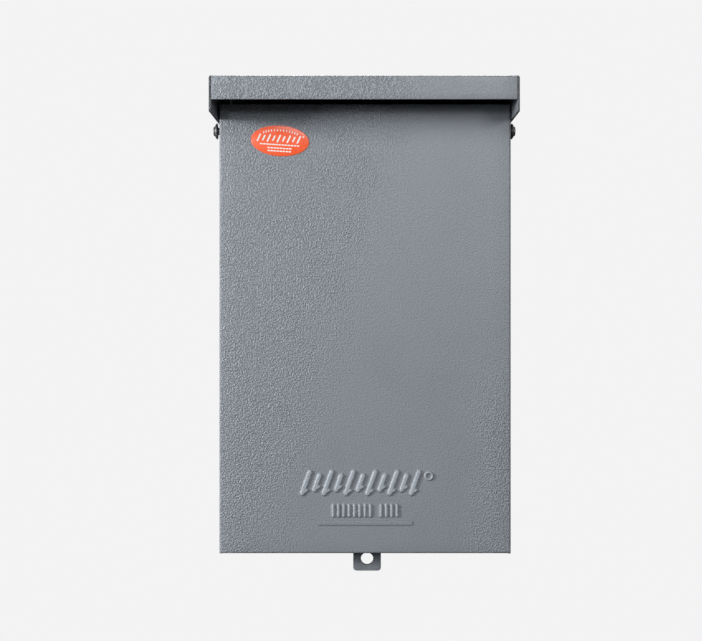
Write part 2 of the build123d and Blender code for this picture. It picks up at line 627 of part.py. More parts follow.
# --- Pull-out --------------------------------------------------------------
def make_pullout():
    half_w = HEAD_WIDTH / 2
    half_h = HEAD_HEIGHT / 2
    head = block(-half_w, half_w, HEAD_FRONT, HEAD_BACK, BASE_Z - half_h, BASE_Z + half_h)
    head = fillet(head.edges().group_by(Axis.Y)[0], HEAD_CORNER)
    grip_front = HEAD_FRONT - GRIP_REACH
    grip_w = GRIP_WIDTH / 2
    grip_h = GRIP_HEIGHT / 2
    grip = block(-grip_w, grip_w, grip_front, HEAD_FRONT, BASE_Z - grip_h, BASE_Z + grip_h)
    grip = fillet(grip.edges().filter_by(Axis.Z).group_by(Axis.Y)[0], GRIP_BAR)
    gap_w = grip_w - GRIP_POST
    gap_front = grip_front + GRIP_BAR
    gap = block(-gap_w, gap_w, gap_front, HEAD_FRONT, BASE_Z - grip_h, BASE_Z + grip_h)
    gap = fillet(gap.edges().filter_by(Axis.Z).group_by(Axis.Y)[0], GRIP_BAR / 2)
    head += grip - gap
    blades = []
    screws = []
    thick = BLADE_THICK / 2
    for x in POLES:
        out = math.copysign(1, x)
        half = BLADE_HEIGHT / 2
        low = BASE_Z - half
        high = BASE_Z + half
        tip = HEAD_BACK + BLADE_OUT
        blade = block(x - thick, x + thick, HEAD_BACK - BLADE_ROOT, tip, low, high)
        blade = chamfer(blade.edges().filter_by(Axis.Z).group_by(Axis.Y)[-1], BLADE_LEAD)
        inner = x - out * thick
        foot = block(inner, inner - out * FOOT_WIDTH, HEAD_BACK - BLADE_THICK, HEAD_BACK, low, high)
        head -= block(x - thick, x + thick, HEAD_BACK - BLADE_ROOT, HEAD_BACK, low, high)
        head -= foot
        blade += foot
        screw_x = inner - out * FOOT_WIDTH / 2
        for end in BOTH:
            z = BASE_Z + end * BLADE_SCREW_Z / 2
            seat = HEAD_BACK - BLADE_SCREW_HEAD
            screw = rod(BLADE_SCREW_HEAD_R, (screw_x, HEAD_BACK, z), (screw_x, seat, z))
            screw += rod(BLADE_SCREW_R, (screw_x, seat, z), (screw_x, seat - BLADE_SCREW_LONG, z))
            blade -= screw
            head -= screw
            screws.append(screw)
        blades.append(blade)
    return head, group(blades), group(screws)


# --- Ground bar ------------------------------------------------------------
def make_ground():
    z = GROUND_Z
    half = GROUND_HIGH / 2
    x0 = GROUND_X - GROUND_LONG / 2
    bar = block(x0, x0 + GROUND_LONG, GROUND_FRONT, -SHEET, z - half, z + half)
    wire_screws = []
    mount_screws = []
    for i in range(GROUND_WIRES):
        x = GROUND_X + (i - (GROUND_WIRES - 1) / 2) * GROUND_PITCH
        wall = GROUND_BORE_Y - GROUND_WIRE_R
        bar -= rod(GROUND_WIRE_R, (x, GROUND_BORE_Y, z - half), (x, GROUND_BORE_Y, z + half))
        bar -= rod(GROUND_SCREW_R, (x, GROUND_FRONT, z), (x, GROUND_BORE_Y, z))
        seat = GROUND_FRONT - GROUND_SCREW_STAND
        depth = wall - SCREW_SHY - seat
        sizes = (GROUND_SCREW_HEAD_R, GROUND_SCREW_HEAD, GROUND_SCREW_R, depth)
        wire_screws.append(front_screw(x, z, seat, *sizes))
    for side in BOTH:
        x = GROUND_X + side * (GROUND_LONG / 2 - GROUND_END)
        bar -= rod(GROUND_SCREW_R, (x, GROUND_FRONT, z), (x, -SHEET, z))
        depth = GROUND_DEEP + SHEET - SCREW_TIP
        sizes = (GROUND_SCREW_HEAD_R, GROUND_SCREW_HEAD, GROUND_SCREW_R, depth)
        mount_screws.append(front_screw(x, z, GROUND_FRONT, *sizes))
    return bar, group(wire_screws), group(mount_screws)


# --- Every node ------------------------------------------------------------
def build():
    nodes = {
        "back_box": make_back_box(),
        "bottom_plate": make_bottom_plate(),
        "rain_hood": make_rain_hood(),
        "cover": make_cover(),
        "badge": make_badge(),
        "inner_label": make_inner_label(),
        "switch_base": make_switch_base(),
        "base_screws": make_base_screws(),
    }
    nodes["hood_rivets"], nodes["bottom_rivets"] = make_rivets()
    nodes["hinge_screws"], nodes["hinge_washers"], nodes["hinge_nuts"] = make_hinge_parts()
    nodes["dead_front"], nodes["dead_front_screws"] = make_shield()
    springs = []
    screws = []
    for end, name in ((1, "line"), (-1, "load")):
        nodes[name + "_contacts"], end_springs, end_screws = make_contacts(end)
        springs += end_springs
        screws += end_screws
        nodes[name + "_lugs"], nodes[name + "_lug_screws"] = make_lugs(end)
    nodes["jaw_springs"] = group(springs)
    nodes["contact_screws"] = group(screws)
    nodes["pullout_head"], nodes["pullout_blades"], nodes["blade_screws"] = make_pullout()
    nodes["ground_bar"], nodes["ground_screws"], nodes["ground_mount_screws"] = make_ground()
    return nodes


os.makedirs("parts", exist_ok=True)
for name, shape in build().items():
    export_step(shape, "parts/" + name + ".step")
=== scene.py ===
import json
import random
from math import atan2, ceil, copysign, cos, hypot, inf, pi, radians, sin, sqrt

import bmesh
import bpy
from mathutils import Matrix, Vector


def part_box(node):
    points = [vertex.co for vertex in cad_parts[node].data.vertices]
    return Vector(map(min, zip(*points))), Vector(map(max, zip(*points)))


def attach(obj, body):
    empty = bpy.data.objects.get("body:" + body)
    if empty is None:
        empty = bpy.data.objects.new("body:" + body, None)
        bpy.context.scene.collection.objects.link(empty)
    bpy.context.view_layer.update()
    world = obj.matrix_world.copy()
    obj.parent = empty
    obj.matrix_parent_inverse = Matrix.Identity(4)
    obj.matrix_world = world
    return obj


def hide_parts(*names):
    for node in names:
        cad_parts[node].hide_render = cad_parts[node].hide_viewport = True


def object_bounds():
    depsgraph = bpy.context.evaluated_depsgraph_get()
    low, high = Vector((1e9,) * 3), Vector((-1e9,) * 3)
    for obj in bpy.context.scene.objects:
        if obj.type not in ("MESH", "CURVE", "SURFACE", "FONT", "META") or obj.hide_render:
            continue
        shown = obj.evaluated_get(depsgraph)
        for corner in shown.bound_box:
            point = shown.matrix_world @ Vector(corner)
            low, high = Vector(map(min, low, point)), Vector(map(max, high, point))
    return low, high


bl_info = {
    "name": "Outdoor Disconnect Box",
    "version": (1, 0, 0),
    "blender": (4, 5, 0),
    "location": "View3D > Sidebar > Disconnect Box",
    "description": "Builds the pieces and finishes of a rainproof pull-out disconnect box",
    "category": "Object",
}

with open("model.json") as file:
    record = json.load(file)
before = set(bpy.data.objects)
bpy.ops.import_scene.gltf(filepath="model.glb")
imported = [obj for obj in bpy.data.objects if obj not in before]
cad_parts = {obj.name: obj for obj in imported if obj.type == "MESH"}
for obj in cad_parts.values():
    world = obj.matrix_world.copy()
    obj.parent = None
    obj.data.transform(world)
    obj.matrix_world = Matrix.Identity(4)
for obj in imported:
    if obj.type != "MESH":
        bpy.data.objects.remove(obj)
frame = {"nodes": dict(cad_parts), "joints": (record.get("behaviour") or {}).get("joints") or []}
CAD_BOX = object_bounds()

MM = 0.001
MERGE = 1e-6
BOTH = (-1, 1)


# --- Places read from the frame ---
def low(node):
    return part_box(node)[0]


def high(node):
    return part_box(node)[1]


def middle(node):
    return (low(node) + high(node)) / 2


HINGE = Vector(next(j["pos_m"] for j in frame["joints"] if j["name"] == "cover_hinge"))
COVER_MIDDLE = middle("cover").x
COVER_HALF = (high("cover").x - low("cover").x) / 2
MARK_RELIEF = 0.8 * MM
COVER_FACE = low("cover").y + MARK_RELIEF
COVER_TOP = high("cover").z
TOP = high("rain_hood").z
BOTTOM = -TOP
LIP_FACE = low("rain_hood").y
FLANGE_BACK = COVER_FACE + 15.2 * MM
TONGUE_FRONT = COVER_FACE + 14.0 * MM
HASP_X = 1.5 * MM
SCREW_END = -low("hinge_nuts").x - 3.2 * MM


# --- Values that a user would change ---
class SheetMetal(bpy.types.PropertyGroup):
    thickness: bpy.props.FloatProperty(
        name="Thickness", description="Thickness of the steel sheet",
        default=1.2 * MM, min=0.0005, unit="LENGTH", precision=4)
    bend: bpy.props.FloatProperty(
        name="Bend", description="Outside radius of the folds",
        default=1.35 * MM, min=0.0002, unit="LENGTH", precision=4)
    seam: bpy.props.FloatProperty(
        name="Seam", description="Gap where two folded edges meet",
        default=0.15 * MM, min=0.0, unit="LENGTH", precision=5)
    paint: bpy.props.FloatVectorProperty(
        name="Paint", description="Colour of the powder coat", subtype="COLOR",
        size=3, min=0, max=1, default=(0.240, 0.263, 0.293))
    grain: bpy.props.FloatProperty(
        name="Wrinkle grain", description="Wrinkles of the coat per metre",
        default=1100.0, min=1.0)


class Moulding(bpy.types.PropertyGroup):
    base: bpy.props.FloatVectorProperty(
        name="Base", description="Colour of the insulating base", subtype="COLOR",
        size=3, min=0, max=1, default=(0.022, 0.021, 0.021))
    head: bpy.props.FloatVectorProperty(
        name="Head", description="Colour of the pull-out head", subtype="COLOR",
        size=3, min=0, max=1, default=(0.012, 0.012, 0.013))
    shield: bpy.props.FloatVectorProperty(
        name="Shield", description="Colour of the dead front", subtype="COLOR",
        size=3, min=0, max=1, default=(0.075, 0.085, 0.095))
    softness: bpy.props.FloatProperty(
        name="Softness", description="Rounding of the moulded edges",
        default=0.45 * MM, min=0.0, unit="LENGTH", precision=5)


class Labels(bpy.types.PropertyGroup):
    vinyl: bpy.props.FloatVectorProperty(
        name="Vinyl", description="Colour of the oval label", subtype="COLOR",
        size=3, min=0, max=1, default=(1.0, 0.125, 0.035))
    ink: bpy.props.FloatVectorProperty(
        name="Ink", description="Colour of the marks on the oval label", subtype="COLOR",
        size=3, min=0, max=1, default=(0.95, 0.93, 0.90))
    tilt: bpy.props.FloatProperty(
        name="Tilt", description="How far the oval label is turned", subtype="ANGLE",
        default=radians(-3.7))


class Stage(bpy.types.PropertyGroup):
    lens: bpy.props.FloatProperty(
        name="Lens", description="Focal length", default=55.95, min=1.0, unit="CAMERA")
    distance: bpy.props.FloatProperty(
        name="Distance", description="Camera to the front of the cover",
        default=0.600, min=0.1, unit="LENGTH")
    backdrop: bpy.props.FloatProperty(
        name="Backdrop", description="Brightness of the floor and the backdrop",
        default=0.896, min=0.0, max=1.0)
    main_power: bpy.props.FloatProperty(
        name="Main light", description="Power of the light from the left in watts",
        default=15.5, min=0.0)
    fill_power: bpy.props.FloatProperty(
        name="Fill light", description="Power of the light from the right in watts",
        default=2.0, min=0.0)
    glint_power: bpy.props.FloatProperty(
        name="Glint light", description="Power of the small light that picks out the coat in watts",
        default=2.0, min=0.0)
    top_power: bpy.props.FloatProperty(
        name="Top light", description="Power of the light from above in watts",
        default=5.4, min=0.0)
    side_power: bpy.props.FloatProperty(
        name="Side lights", description="Power of the lights behind each side in watts",
        default=0.9, min=0.0)
    back_power: bpy.props.FloatProperty(
        name="Back light", description="Power of the light above and behind the box in watts",
        default=14.0, min=0.0)
    surround: bpy.props.FloatProperty(
        name="Surround", description="Brightness of the studio round the object",
        default=0.05, min=0.0)


# --- Mesh helpers ---
SHARP_FROM = radians(50)
WEAR_FROM = 0.25
WEAR_GAIN = 1.6
WEAR_WIDTH = 0.6 * MM
FLAT_WITHIN = radians(0.6)
FOLD_FROM = radians(60)
SOFTEN_FROM = radians(40)
CUT_WIDTH = 1.3 * MM
SHEET_EASE = 0.12 * MM
TONGUE_EASE = 0.15 * MM
CUT_AROUND = 0.8
TURN_STEPS = 32
CROSS_LONG = 3.2
SLOT_LONG = 9.0
CROSS_WIDE = 0.42
HEX_WIDE = 0.95


def linked(name, data):
    """A new object in the scene."""
    item = bpy.data.objects.new(name, data)
    bpy.context.scene.collection.objects.link(item)
    return item


def add_piece(name, mesh, body, slot, *stands_for, finish=None):
    """Links a finished mesh as a piece that rides on a body of the frame."""
    mesh.name = name
    piece = linked(name, mesh)
    mesh.materials.clear()
    mesh.materials.append(finish_of(finish or slot))
    mesh.shade_smooth()
    mesh.set_sharp_from_angle(angle=SHARP_FROM)
    mark_wear(mesh)
    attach(piece, body)
    if stands_for:
        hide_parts(*stands_for)


def clamped(value):
    return min(1.0, max(0.0, value))


def store(mesh, name, values, domain="FACE"):
    mesh.attributes.new(name, "FLOAT", domain).data.foreach_set("value", values)


def mark_wear(mesh):
    """Stores how sharply the surface turns at each narrow face, for paint and plating wear."""
    bm = bmesh.new()
    bm.from_mesh(mesh)
    values = []
    for face in bm.faces:
        sharpest = max(e.calc_face_angle(0.0) for e in face.edges)
        width = 2 * face.calc_area() / face.calc_perimeter()
        values.append(clamped((sharpest - WEAR_FROM) * WEAR_GAIN) if width < WEAR_WIDTH else 0.0)
    bm.free()
    store(mesh, "wear", values)


def mesh_from(bm, name="mesh"):
    mesh = bpy.data.meshes.new(name)
    bm.to_mesh(mesh)
    bm.free()
    return mesh


def add_grid(bm, rows):
    """Joins rows of points, all the same length, with quads."""
    verts = [[bm.verts.new(p) for p in row] for row in rows]
    for upper, lower in zip(verts, verts[1:]):
        for i in range(len(upper) - 1):
            bm.faces.new((upper[i], upper[i + 1], lower[i + 1], lower[i]))


def bridge(bm, first, second):
    """Joins two closed rings of points. A ring with a single point is a pole."""
    for i in range(max(len(first), len(second))):
        k = i + 1
        corners = [ring[at % len(ring)] for ring, at in ((first, i), (second, i), (second, k), (first, k))]
        bm.faces.new(list(dict.fromkeys(corners)))


def circle(count):
    """Evenly spaced angles round a full turn."""
    return [2 * pi * i / count for i in range(count)]


def quarter(count=5):
    """Evenly spaced angles over a quarter turn, both ends included."""
    return [pi / 2 * i / count for i in range(count + 1)]


def evaluated(piece):
    """The mesh that an object's modifiers make, as a new mesh."""
    graph = bpy.context.evaluated_depsgraph_get()
    graph.update()
    return bpy.data.meshes.new_from_object(piece.evaluated_get(graph))


def with_modifiers(mesh, *settings):
    """Runs a mesh through modifiers, given as (type, {setting: value}), and returns the result."""
    holder = linked("holder", mesh)
    for kind, values in settings:
        modifier = holder.modifiers.new(kind.lower(), kind)
        for key, value in values.items():
            setattr(modifier, key, value)
    result = evaluated(holder)
    bpy.data.objects.remove(holder)
    return result


def edge_bevel(width, degrees):
    """Modifier settings that round the edges sharper than an angle."""
    limit = {"limit_method": "ANGLE", "angle_limit": radians(degrees)}
    return "BEVEL", {"width": width, "segments": 2, **limit}


def cut_away(mesh, tool, **settings):
    """Cuts a tool's shape out of a mesh."""
    cutter = linked("cutter", mesh_from(tool))
    cut = {"operation": "DIFFERENCE", "solver": "EXACT", "object": cutter, **settings}
    result = with_modifiers(mesh, ("BOOLEAN", cut))
    bpy.data.objects.remove(cutter)
    return result


def thickened(bm, thickness, inside=0.0):
    """Closed sheet from a skin of outer faces: the metal grows inwards. Cut edges get painted shade, and
    the inner faces get it by the given share.
    """
    bmesh.ops.remove_doubles(bm, verts=bm.verts, dist=MERGE * 10)
    bmesh.ops.recalc_face_normals(bm, faces=bm.faces)
    centre = sum((v.co for v in bm.verts), Vector()) / len(bm.verts)
    outward = sum((f.calc_center_median() - centre).dot(f.normal) * f.calc_area() for f in bm.faces)
    if outward < 0:
        bmesh.ops.reverse_faces(bm, faces=bm.faces)
    # Shares of painted shade for outer faces, cut edges and inner faces.
    edge_shade_shares = (0.0, 1.0, inside)
    skin = mesh_from(bm)
    for _ in edge_shade_shares:
        skin.materials.append(None)
    solid = {"thickness": thickness, "offset": -1.0, "use_even_offset": True,
             "use_quality_normals": True, "material_offset": 2, "material_offset_rim": 1}
    mesh = with_modifiers(skin, ("SOLIDIFY", solid), edge_bevel(SHEET_EASE, 70))
    store(mesh, "bare", [edge_shade_shares[min(2, p.material_index)] for p in mesh.polygons])
    mesh.polygons.foreach_set("material_index", [0] * len(mesh.polygons))
    return mesh


def softened(node, width, shortest=3 * MM):
    """Clean copy of a CAD node's mesh with its long sharp edges rounded. Its narrow cut edges beside folds
    are marked for painted shade.
    """
    bm = bmesh.new()
    bm.from_mesh(frame["nodes"][node].data)
    bmesh.ops.remove_doubles(bm, verts=bm.verts, dist=MERGE)
    bmesh.ops.dissolve_limit(bm, angle_limit=FLAT_WITHIN, verts=bm.verts, edges=bm.edges)
    bare = bm.faces.layers.float.new("bare")
    # Painted shade on narrow faces beside folds, which are the sheet's cut edges.
    for face in bm.faces:
        around = face.calc_perimeter()
        folded = sum(e.calc_length() for e in face.edges if e.calc_face_angle(0.0) > FOLD_FROM)
        face[bare] = float(folded > CUT_AROUND * around and 2 * face.calc_area() < CUT_WIDTH * around)
    sharp = [
        e for e in bm.edges
        if len(e.link_faces) == 2 and e.calc_face_angle() > SOFTEN_FROM and e.calc_length() > shortest
    ]
    bmesh.ops.bevel(
        bm, geom=sharp, offset=width, segments=2, profile=0.5, affect="EDGES", clamp_overlap=True)
    bmesh.ops.recalc_face_normals(bm, faces=bm.faces)
    return mesh_from(bm)


def turned(profile):
    """Solid of revolution about Z. The profile is (radius, height) from the top to the bottom."""
    bm = bmesh.new()
    rings = []
    for radius, height in profile:
        angles = circle(TURN_STEPS) if radius else [0.0]
        rings.append([bm.verts.new((radius * cos(a), radius * sin(a), height)) for a in angles])
    for above, below in zip(rings, rings[1:]):
        bridge(bm, above, below)
    return bm


def round_rim(radius, corner):
    """Profile of a head's flat top and its rounded rim, with the top at height zero."""
    return [(0, 0)] + [(radius - corner + corner * sin(a), corner * cos(a) - corner) for a in quarter(4)]


def recess(bm, kind, width, depth):
    """Cuts a slot, a cross or a hexagonal socket into a head's top."""
    tool = bmesh.new()
    if kind == "hex":
        bmesh.ops.create_cone(
            tool, cap_ends=True, segments=6, radius1=width / 2, radius2=width / 2, depth=2 * depth)
    else:
        reach, turns = (CROSS_LONG, (0, 90)) if kind == "cross" else (SLOT_LONG, (0,))
        size = Matrix.Diagonal((width * reach, width, 2 * depth, 1))
        for turn in turns:
            bmesh.ops.create_cube(tool, size=1.0, matrix=Matrix.Rotation(radians(turn), 4, "Z") @ size)
    return cut_away(mesh_from(bm), tool, use_self=True)


def capsule_distance(x, z, cx, cz, half, lean):
    """Distance from a point to a leaning line of that half length."""
    dx = sin(lean)
    dz = cos(lean)
    along = max(-half, min(half, (x - cx) * dx + (z - cz) * dz))
    return hypot(x - cx - along * dx, z - cz - along * dz)


# --- Shader helpers ---
class Nodes:
    """Short calls for building a node tree."""

    def __init__(self, tree):
        self.tree = tree
        self.place = None

    def put(self, socket, value):
        """Links a socket to another one, or sets its own value."""
        if isinstance(value, bpy.types.NodeSocket):
            self.tree.links.new(value, socket)
        else:
            socket.default_value = value

    def add(self, kind, values=None, **settings):
        node = self.tree.nodes.new(kind)
        for key, value in settings.items():
            setattr(node, key, value)
        for key, value in (values or {}).items():
            self.put(node.inputs[key], value)
        return node

    def stored(self, name):
        return self.add("ShaderNodeAttribute", attribute_name=name).outputs["Fac"]

    def noise(self, scale, detail=2.0, roughness=0.5, distortion=0.0, vector=None):
        values = {"Vector": self.place if vector is None else vector, "Scale": scale, "Detail": detail,
                  "Roughness": roughness, "Distortion": distortion}
        return self.add("ShaderNodeTexNoise", values).outputs["Fac"]

    def ramp(self, value, start, end, low_value=0.0, high_value=1.0):
        values = {"Value": value, "From Min": start, "From Max": end,
                  "To Min": low_value, "To Max": high_value}
        node = self.add("ShaderNodeMapRange", values, interpolation_type="SMOOTHSTEP")
        return node.outputs["Result"]

    def arithmetic(self, operation, first, second):
        return self.add("ShaderNodeMath", {0: first, 1: second}, operation=operation).outputs[0]

    def times(self, first, second):
        return self.arithmetic("MULTIPLY", first, second)

    def plus(self, first, second):
        return self.arithmetic("ADD", first, second)

    def mix(self, factor, first, second):
        node = self.add("ShaderNodeMix", data_type="RGBA")
        colours = [s for s in node.inputs if s.type == "RGBA"]
        for socket, value in zip((node.inputs["Factor"], *colours), (factor, first, second)):
            self.put(socket, value)
        return next(s for s in node.outputs if s.type == "RGBA")


def colour(values, brightness=1.0):
    return (*[min(1.0, c * brightness) for c in values[:3]], 1.0)


def effect(name, inputs, *outputs):
    """Empty shader group on a vector, with named inputs. Returns its nodes, inputs and outputs."""
    tree = bpy.data.node_groups.new(name, "ShaderNodeTree")
    tree.interface.new_socket("Vector", in_out="INPUT", socket_type="NodeSocketVector")
    for label, default in inputs.items():
        kind = "NodeSocketVector" if isinstance(default, tuple) else "NodeSocketFloat"
        tree.interface.new_socket(label, in_out="INPUT", socket_type=kind).default_value = default
    for label in outputs:
        tree.interface.new_socket(label, in_out="OUTPUT", socket_type="NodeSocketFloat")
    n = Nodes(tree)
    given = n.add("NodeGroupInput").outputs
    n.place = given["Vector"]
    return n, given, n.add("NodeGroupOutput").inputs


DRAW_LINES = (60.0, 60.0, 3000.0)


def build_effects():
    """The surface effects that several finishes share."""
    n, given, out = effect("wrinkle_coat", {"Grain": 300.0, "Swirl": 0.6}, "Height", "Valley")
    folds = n.ramp(n.noise(given["Grain"], 1.0, 0.4, given["Swirl"]), 0.28, 0.72)
    fine = n.noise(n.times(given["Grain"], 2.7), 2.0, 0.5, 0.3)
    n.put(out["Height"], n.plus(n.times(folds, 0.75), n.times(fine, 0.25)))
    # Painted shade: a mask of the wrinkles' hollows, used to darken the colour there.
    n.put(out["Valley"], n.ramp(folds, 0.35, 0.0))

    n, given, out = effect("edge_wear", {"Amount": 0.5, "Breakup": 400.0}, "Mask")
    patches = n.ramp(n.noise(given["Breakup"], 3.0), 0.42, 0.62)
    n.put(out["Mask"], n.times(n.times(n.stored("wear"), patches), given["Amount"]))

    n, given, out = effect("smudges", {"Size": 20.0, "Strength": 0.2}, "Shade", "Gloss")
    cloud = n.noise(given["Size"], 4.0, 0.6, 0.5)
    n.put(out["Shade"], n.times(n.ramp(cloud, 0.3, 0.7), given["Strength"]))
    broad = n.noise(n.times(given["Size"], 3.1), 3.0)
    n.put(out["Gloss"], n.ramp(broad, 0.3, 0.7, -0.06, 0.06))

    n, given, out = effect("moulded_grain", {"Grain": 2600.0}, "Height", "Speck")
    cells = n.add("ShaderNodeTexVoronoi", {"Vector": n.place, "Scale": given["Grain"]}).outputs["Distance"]
    soft = n.noise(n.times(given["Grain"], 0.4), 2.0)
    n.put(out["Height"], n.plus(n.times(cells, 0.5), soft))
    n.put(out["Speck"], n.ramp(n.noise(n.times(given["Grain"], 0.7)), 0.62, 0.74))

    n, given, out = effect("drawn_metal", {"Stretch": DRAW_LINES, "Tarnish": 0.3}, "Height", "Stain")
    stretched = n.add("ShaderNodeVectorMath", {0: n.place, 1: given["Stretch"]}, operation="MULTIPLY")
    n.put(out["Height"], n.noise(1.0, 3.0, 0.6, vector=stretched.outputs[0]))
    stain = n.ramp(n.noise(160.0, 4.0, 0.6, 0.8), 0.45, 0.75)
    n.put(out["Stain"], n.times(stain, given["Tarnish"]))


class Finish(Nodes):
    """A material under construction, with its shader and its Object coordinates."""

    def __init__(self, name, metallic=0.0, coat=0.0):
        self.material = bpy.data.materials.new(name)
        self.material.use_nodes = True
        super().__init__(self.material.node_tree)
        self.tree.nodes.clear()
        self.shader = self.add("ShaderNodeBsdfPrincipled", {"Metallic": metallic, "Coat Weight": coat})
        self.add("ShaderNodeOutputMaterial", {"Surface": self.shader.outputs[0]})
        self.place = self.add("ShaderNodeTexCoord").outputs["Object"]

    def use(self, group, **values):
        tree = bpy.data.node_groups[group]
        return self.add("ShaderNodeGroup", {"Vector": self.place, **values}, node_tree=tree).outputs

    def finished(self, base, roughness, height, strength, distance):
        """Sets what varies over the surface, and returns the material."""
        bump = self.add("ShaderNodeBump", {"Height": height, "Strength": strength, "Distance": distance})
        sources = {"Base Color": base, "Roughness": roughness, "Normal": bump.outputs["Normal"]}
        for socket, source in sources.items():
            self.put(self.shader.inputs[socket], source)
        return self.material


def coat_paint(values):
    """Grey powder coat with wrinkles, heavier on the left and at the bottom right, where painted glints and
    painted shade flecks go into the colour.
    """
    f = Finish("wrinkled_powder_coat")
    paint = values.paint
    wrinkle = f.use("wrinkle_coat", Grain=values.grain, Swirl=0.3)
    smudge = f.use("smudges", Size=14.0, Strength=0.35)
    wear = f.use("edge_wear", Amount=0.35, Breakup=260.0)
    base = f.mix(smudge["Shade"], colour(paint), colour(paint, 1.12))
    # Painted shade: the colour is darkened in the wrinkles' hollows.
    base = f.mix(f.times(wrinkle["Valley"], 0.15), base, colour(paint, 0.55))
    # Mask for deeper wrinkles and for painted glints: strongest towards the left and the bottom right.
    split = f.add("ShaderNodeSeparateXYZ", {0: f.place}).outputs
    slanted = f.arithmetic("SUBTRACT", split["X"], f.times(split["Z"], 0.3))
    left = f.ramp(slanted, 20 * MM, -45 * MM)
    downwards = f.ramp(split["Z"], 0.0, -70 * MM, 0.1, 0.9)
    right = f.times(f.ramp(split["X"], 45 * MM, 75 * MM), downwards)
    patches = f.ramp(f.noise(45.0), 0.3, 0.7, 0.6, 1.0)
    heavy_coat_and_glints = f.times(f.plus(left, right), patches)
    # Painted glints and painted shade: wrinkle peaks are lightened and hollows darkened in the colour,
    # mostly on the left and at the bottom right.
    painted_glint_flecks = f.mix(f.ramp(wrinkle["Height"], 0.3, 0.7), colour(paint, 0.86), colour(paint, 1.30))
    base = f.mix(f.times(heavy_coat_and_glints, 0.9), base, painted_glint_flecks)
    base = f.mix(wear["Mask"], base, colour(paint, 1.7))
    raised = f.stored("raised")
    # Painted shade round the foot of each pressed mark, then a painted highlight on its top, both in the
    # colour.
    painted_foot_shade = f.times(f.ramp(raised, 0.0, 0.06), f.ramp(raised, 0.28, 0.14))
    base = f.mix(f.times(painted_foot_shade, 0.6), base, colour(paint, 0.4))
    base = f.mix(f.times(f.ramp(raised, 0.5, 1.0), 0.7), base, colour(paint, 1.7))
    # Painted shade: cut edges, and the hood's inner faces by a share, are darkened in the colour.
    base = f.mix(f.times(f.stored("bare"), 0.75), base, colour(paint, 0.12))
    roughness = f.plus(smudge["Gloss"], f.ramp(heavy_coat_and_glints, 0.0, 1.0, 0.44, 0.38))
    height = f.times(wrinkle["Height"], f.ramp(heavy_coat_and_glints, 0.0, 1.0, 0.22, 1.0))
    return f.finished(base, roughness, height, 1.0, 0.45 * MM)


def moulded(name, tint, roughness, grain=2600.0):
    """Moulded plastic or phenolic with a fine grain."""
    f = Finish(name)
    mould = f.use("moulded_grain", Grain=grain)
    smudge = f.use("smudges", Size=30.0, Strength=0.5)
    wear = f.use("edge_wear", Amount=0.6, Breakup=500.0)
    base = f.mix(smudge["Shade"], colour(tint), colour(tint, 1.6))
    base = f.mix(f.times(mould["Speck"], 0.5), base, colour(tint, 2.4))
    base = f.mix(wear["Mask"], base, colour(tint, 3.5))
    return f.finished(base, f.plus(smudge["Gloss"], roughness), mould["Height"], 0.25, 0.08 * MM)


def bare_metal(name, tint, stain_tint, roughness, tarnish=0.35):
    """Plain or plated metal with draw lines and a light tarnish."""
    f = Finish(name, metallic=1.0)
    drawn = f.use("drawn_metal", Stretch=DRAW_LINES, Tarnish=tarnish)
    smudge = f.use("smudges", Size=60.0, Strength=0.4)
    wear = f.use("edge_wear", Amount=0.5, Breakup=700.0)
    base = f.mix(drawn["Stain"], colour(tint), colour(stain_tint))
    base = f.mix(smudge["Shade"], base, colour(tint, 0.8))
    base = f.mix(wear["Mask"], base, colour(tint, 1.25))
    dulled = f.plus(f.plus(smudge["Gloss"], f.times(drawn["Stain"], 0.4)), roughness)
    return f.finished(base, dulled, drawn["Height"], 0.2, 0.03 * MM)


def printed(name, tint, roughness, coat):
    """Vinyl, ink or label stock."""
    f = Finish(name, coat=coat)
    smudge = f.use("smudges", Size=90.0, Strength=0.3)
    base = f.mix(smudge["Shade"], colour(tint), colour(tint, 0.86))
    speck = f.ramp(f.noise(900.0), 0.60, 0.75)
    base = f.mix(f.times(speck, 0.15), base, colour(tint, 0.7))
    return f.finished(base, f.plus(smudge["Gloss"], roughness), f.noise(240.0, 3.0), 0.1, 0.05 * MM)


def build_finishes():
    scene = bpy.context.scene
    mould = scene.box_moulding
    labels = scene.box_labels
    build_effects()
    return {
        "enclosure_paint": coat_paint(scene.box_sheet),
        "dark_phenolic": moulded("dark_phenolic_finish", mould.base, 0.45),
        "black_plastic": moulded("black_plastic_finish", mould.head, 0.38, 3200.0),
        "grey_shield": moulded("grey_shield_finish", mould.shield, 0.55, 1500.0),
        "zinc_screws": bare_metal("zinc_plate", (0.56, 0.57, 0.58), (0.36, 0.33, 0.28), 0.30),
        "stainless": bare_metal("stainless_finish", (0.20, 0.20, 0.205), (0.12, 0.11, 0.10), 0.42),
        "tinned_copper": bare_metal(
            "tinned_copper_finish", (0.70, 0.67, 0.62), (0.52, 0.36, 0.24), 0.28, tarnish=0.6),
        "lug_aluminium": bare_metal("lug_aluminium_finish", (0.76, 0.77, 0.78), (0.55, 0.55, 0.54), 0.34),
        "spring_steel": bare_metal("spring_steel_finish", (0.24, 0.26, 0.31), (0.30, 0.20, 0.12), 0.32),
        "orange_label": printed("orange_vinyl", labels.vinyl, 0.30, 0.3),
        "label_ink": printed("label_ink", labels.ink, 0.45, 0.1),
        "white_label": printed("label_stock", (0.74, 0.74, 0.71), 0.7, 0.0),
        "label_print": printed("label_print", (0.06, 0.06, 0.065), 0.6, 0.0),
    }


FINISHES = {}


def finish_of(slot):
    if not FINISHES:
        FINISHES.update(build_finishes())
    return FINISHES[slot]


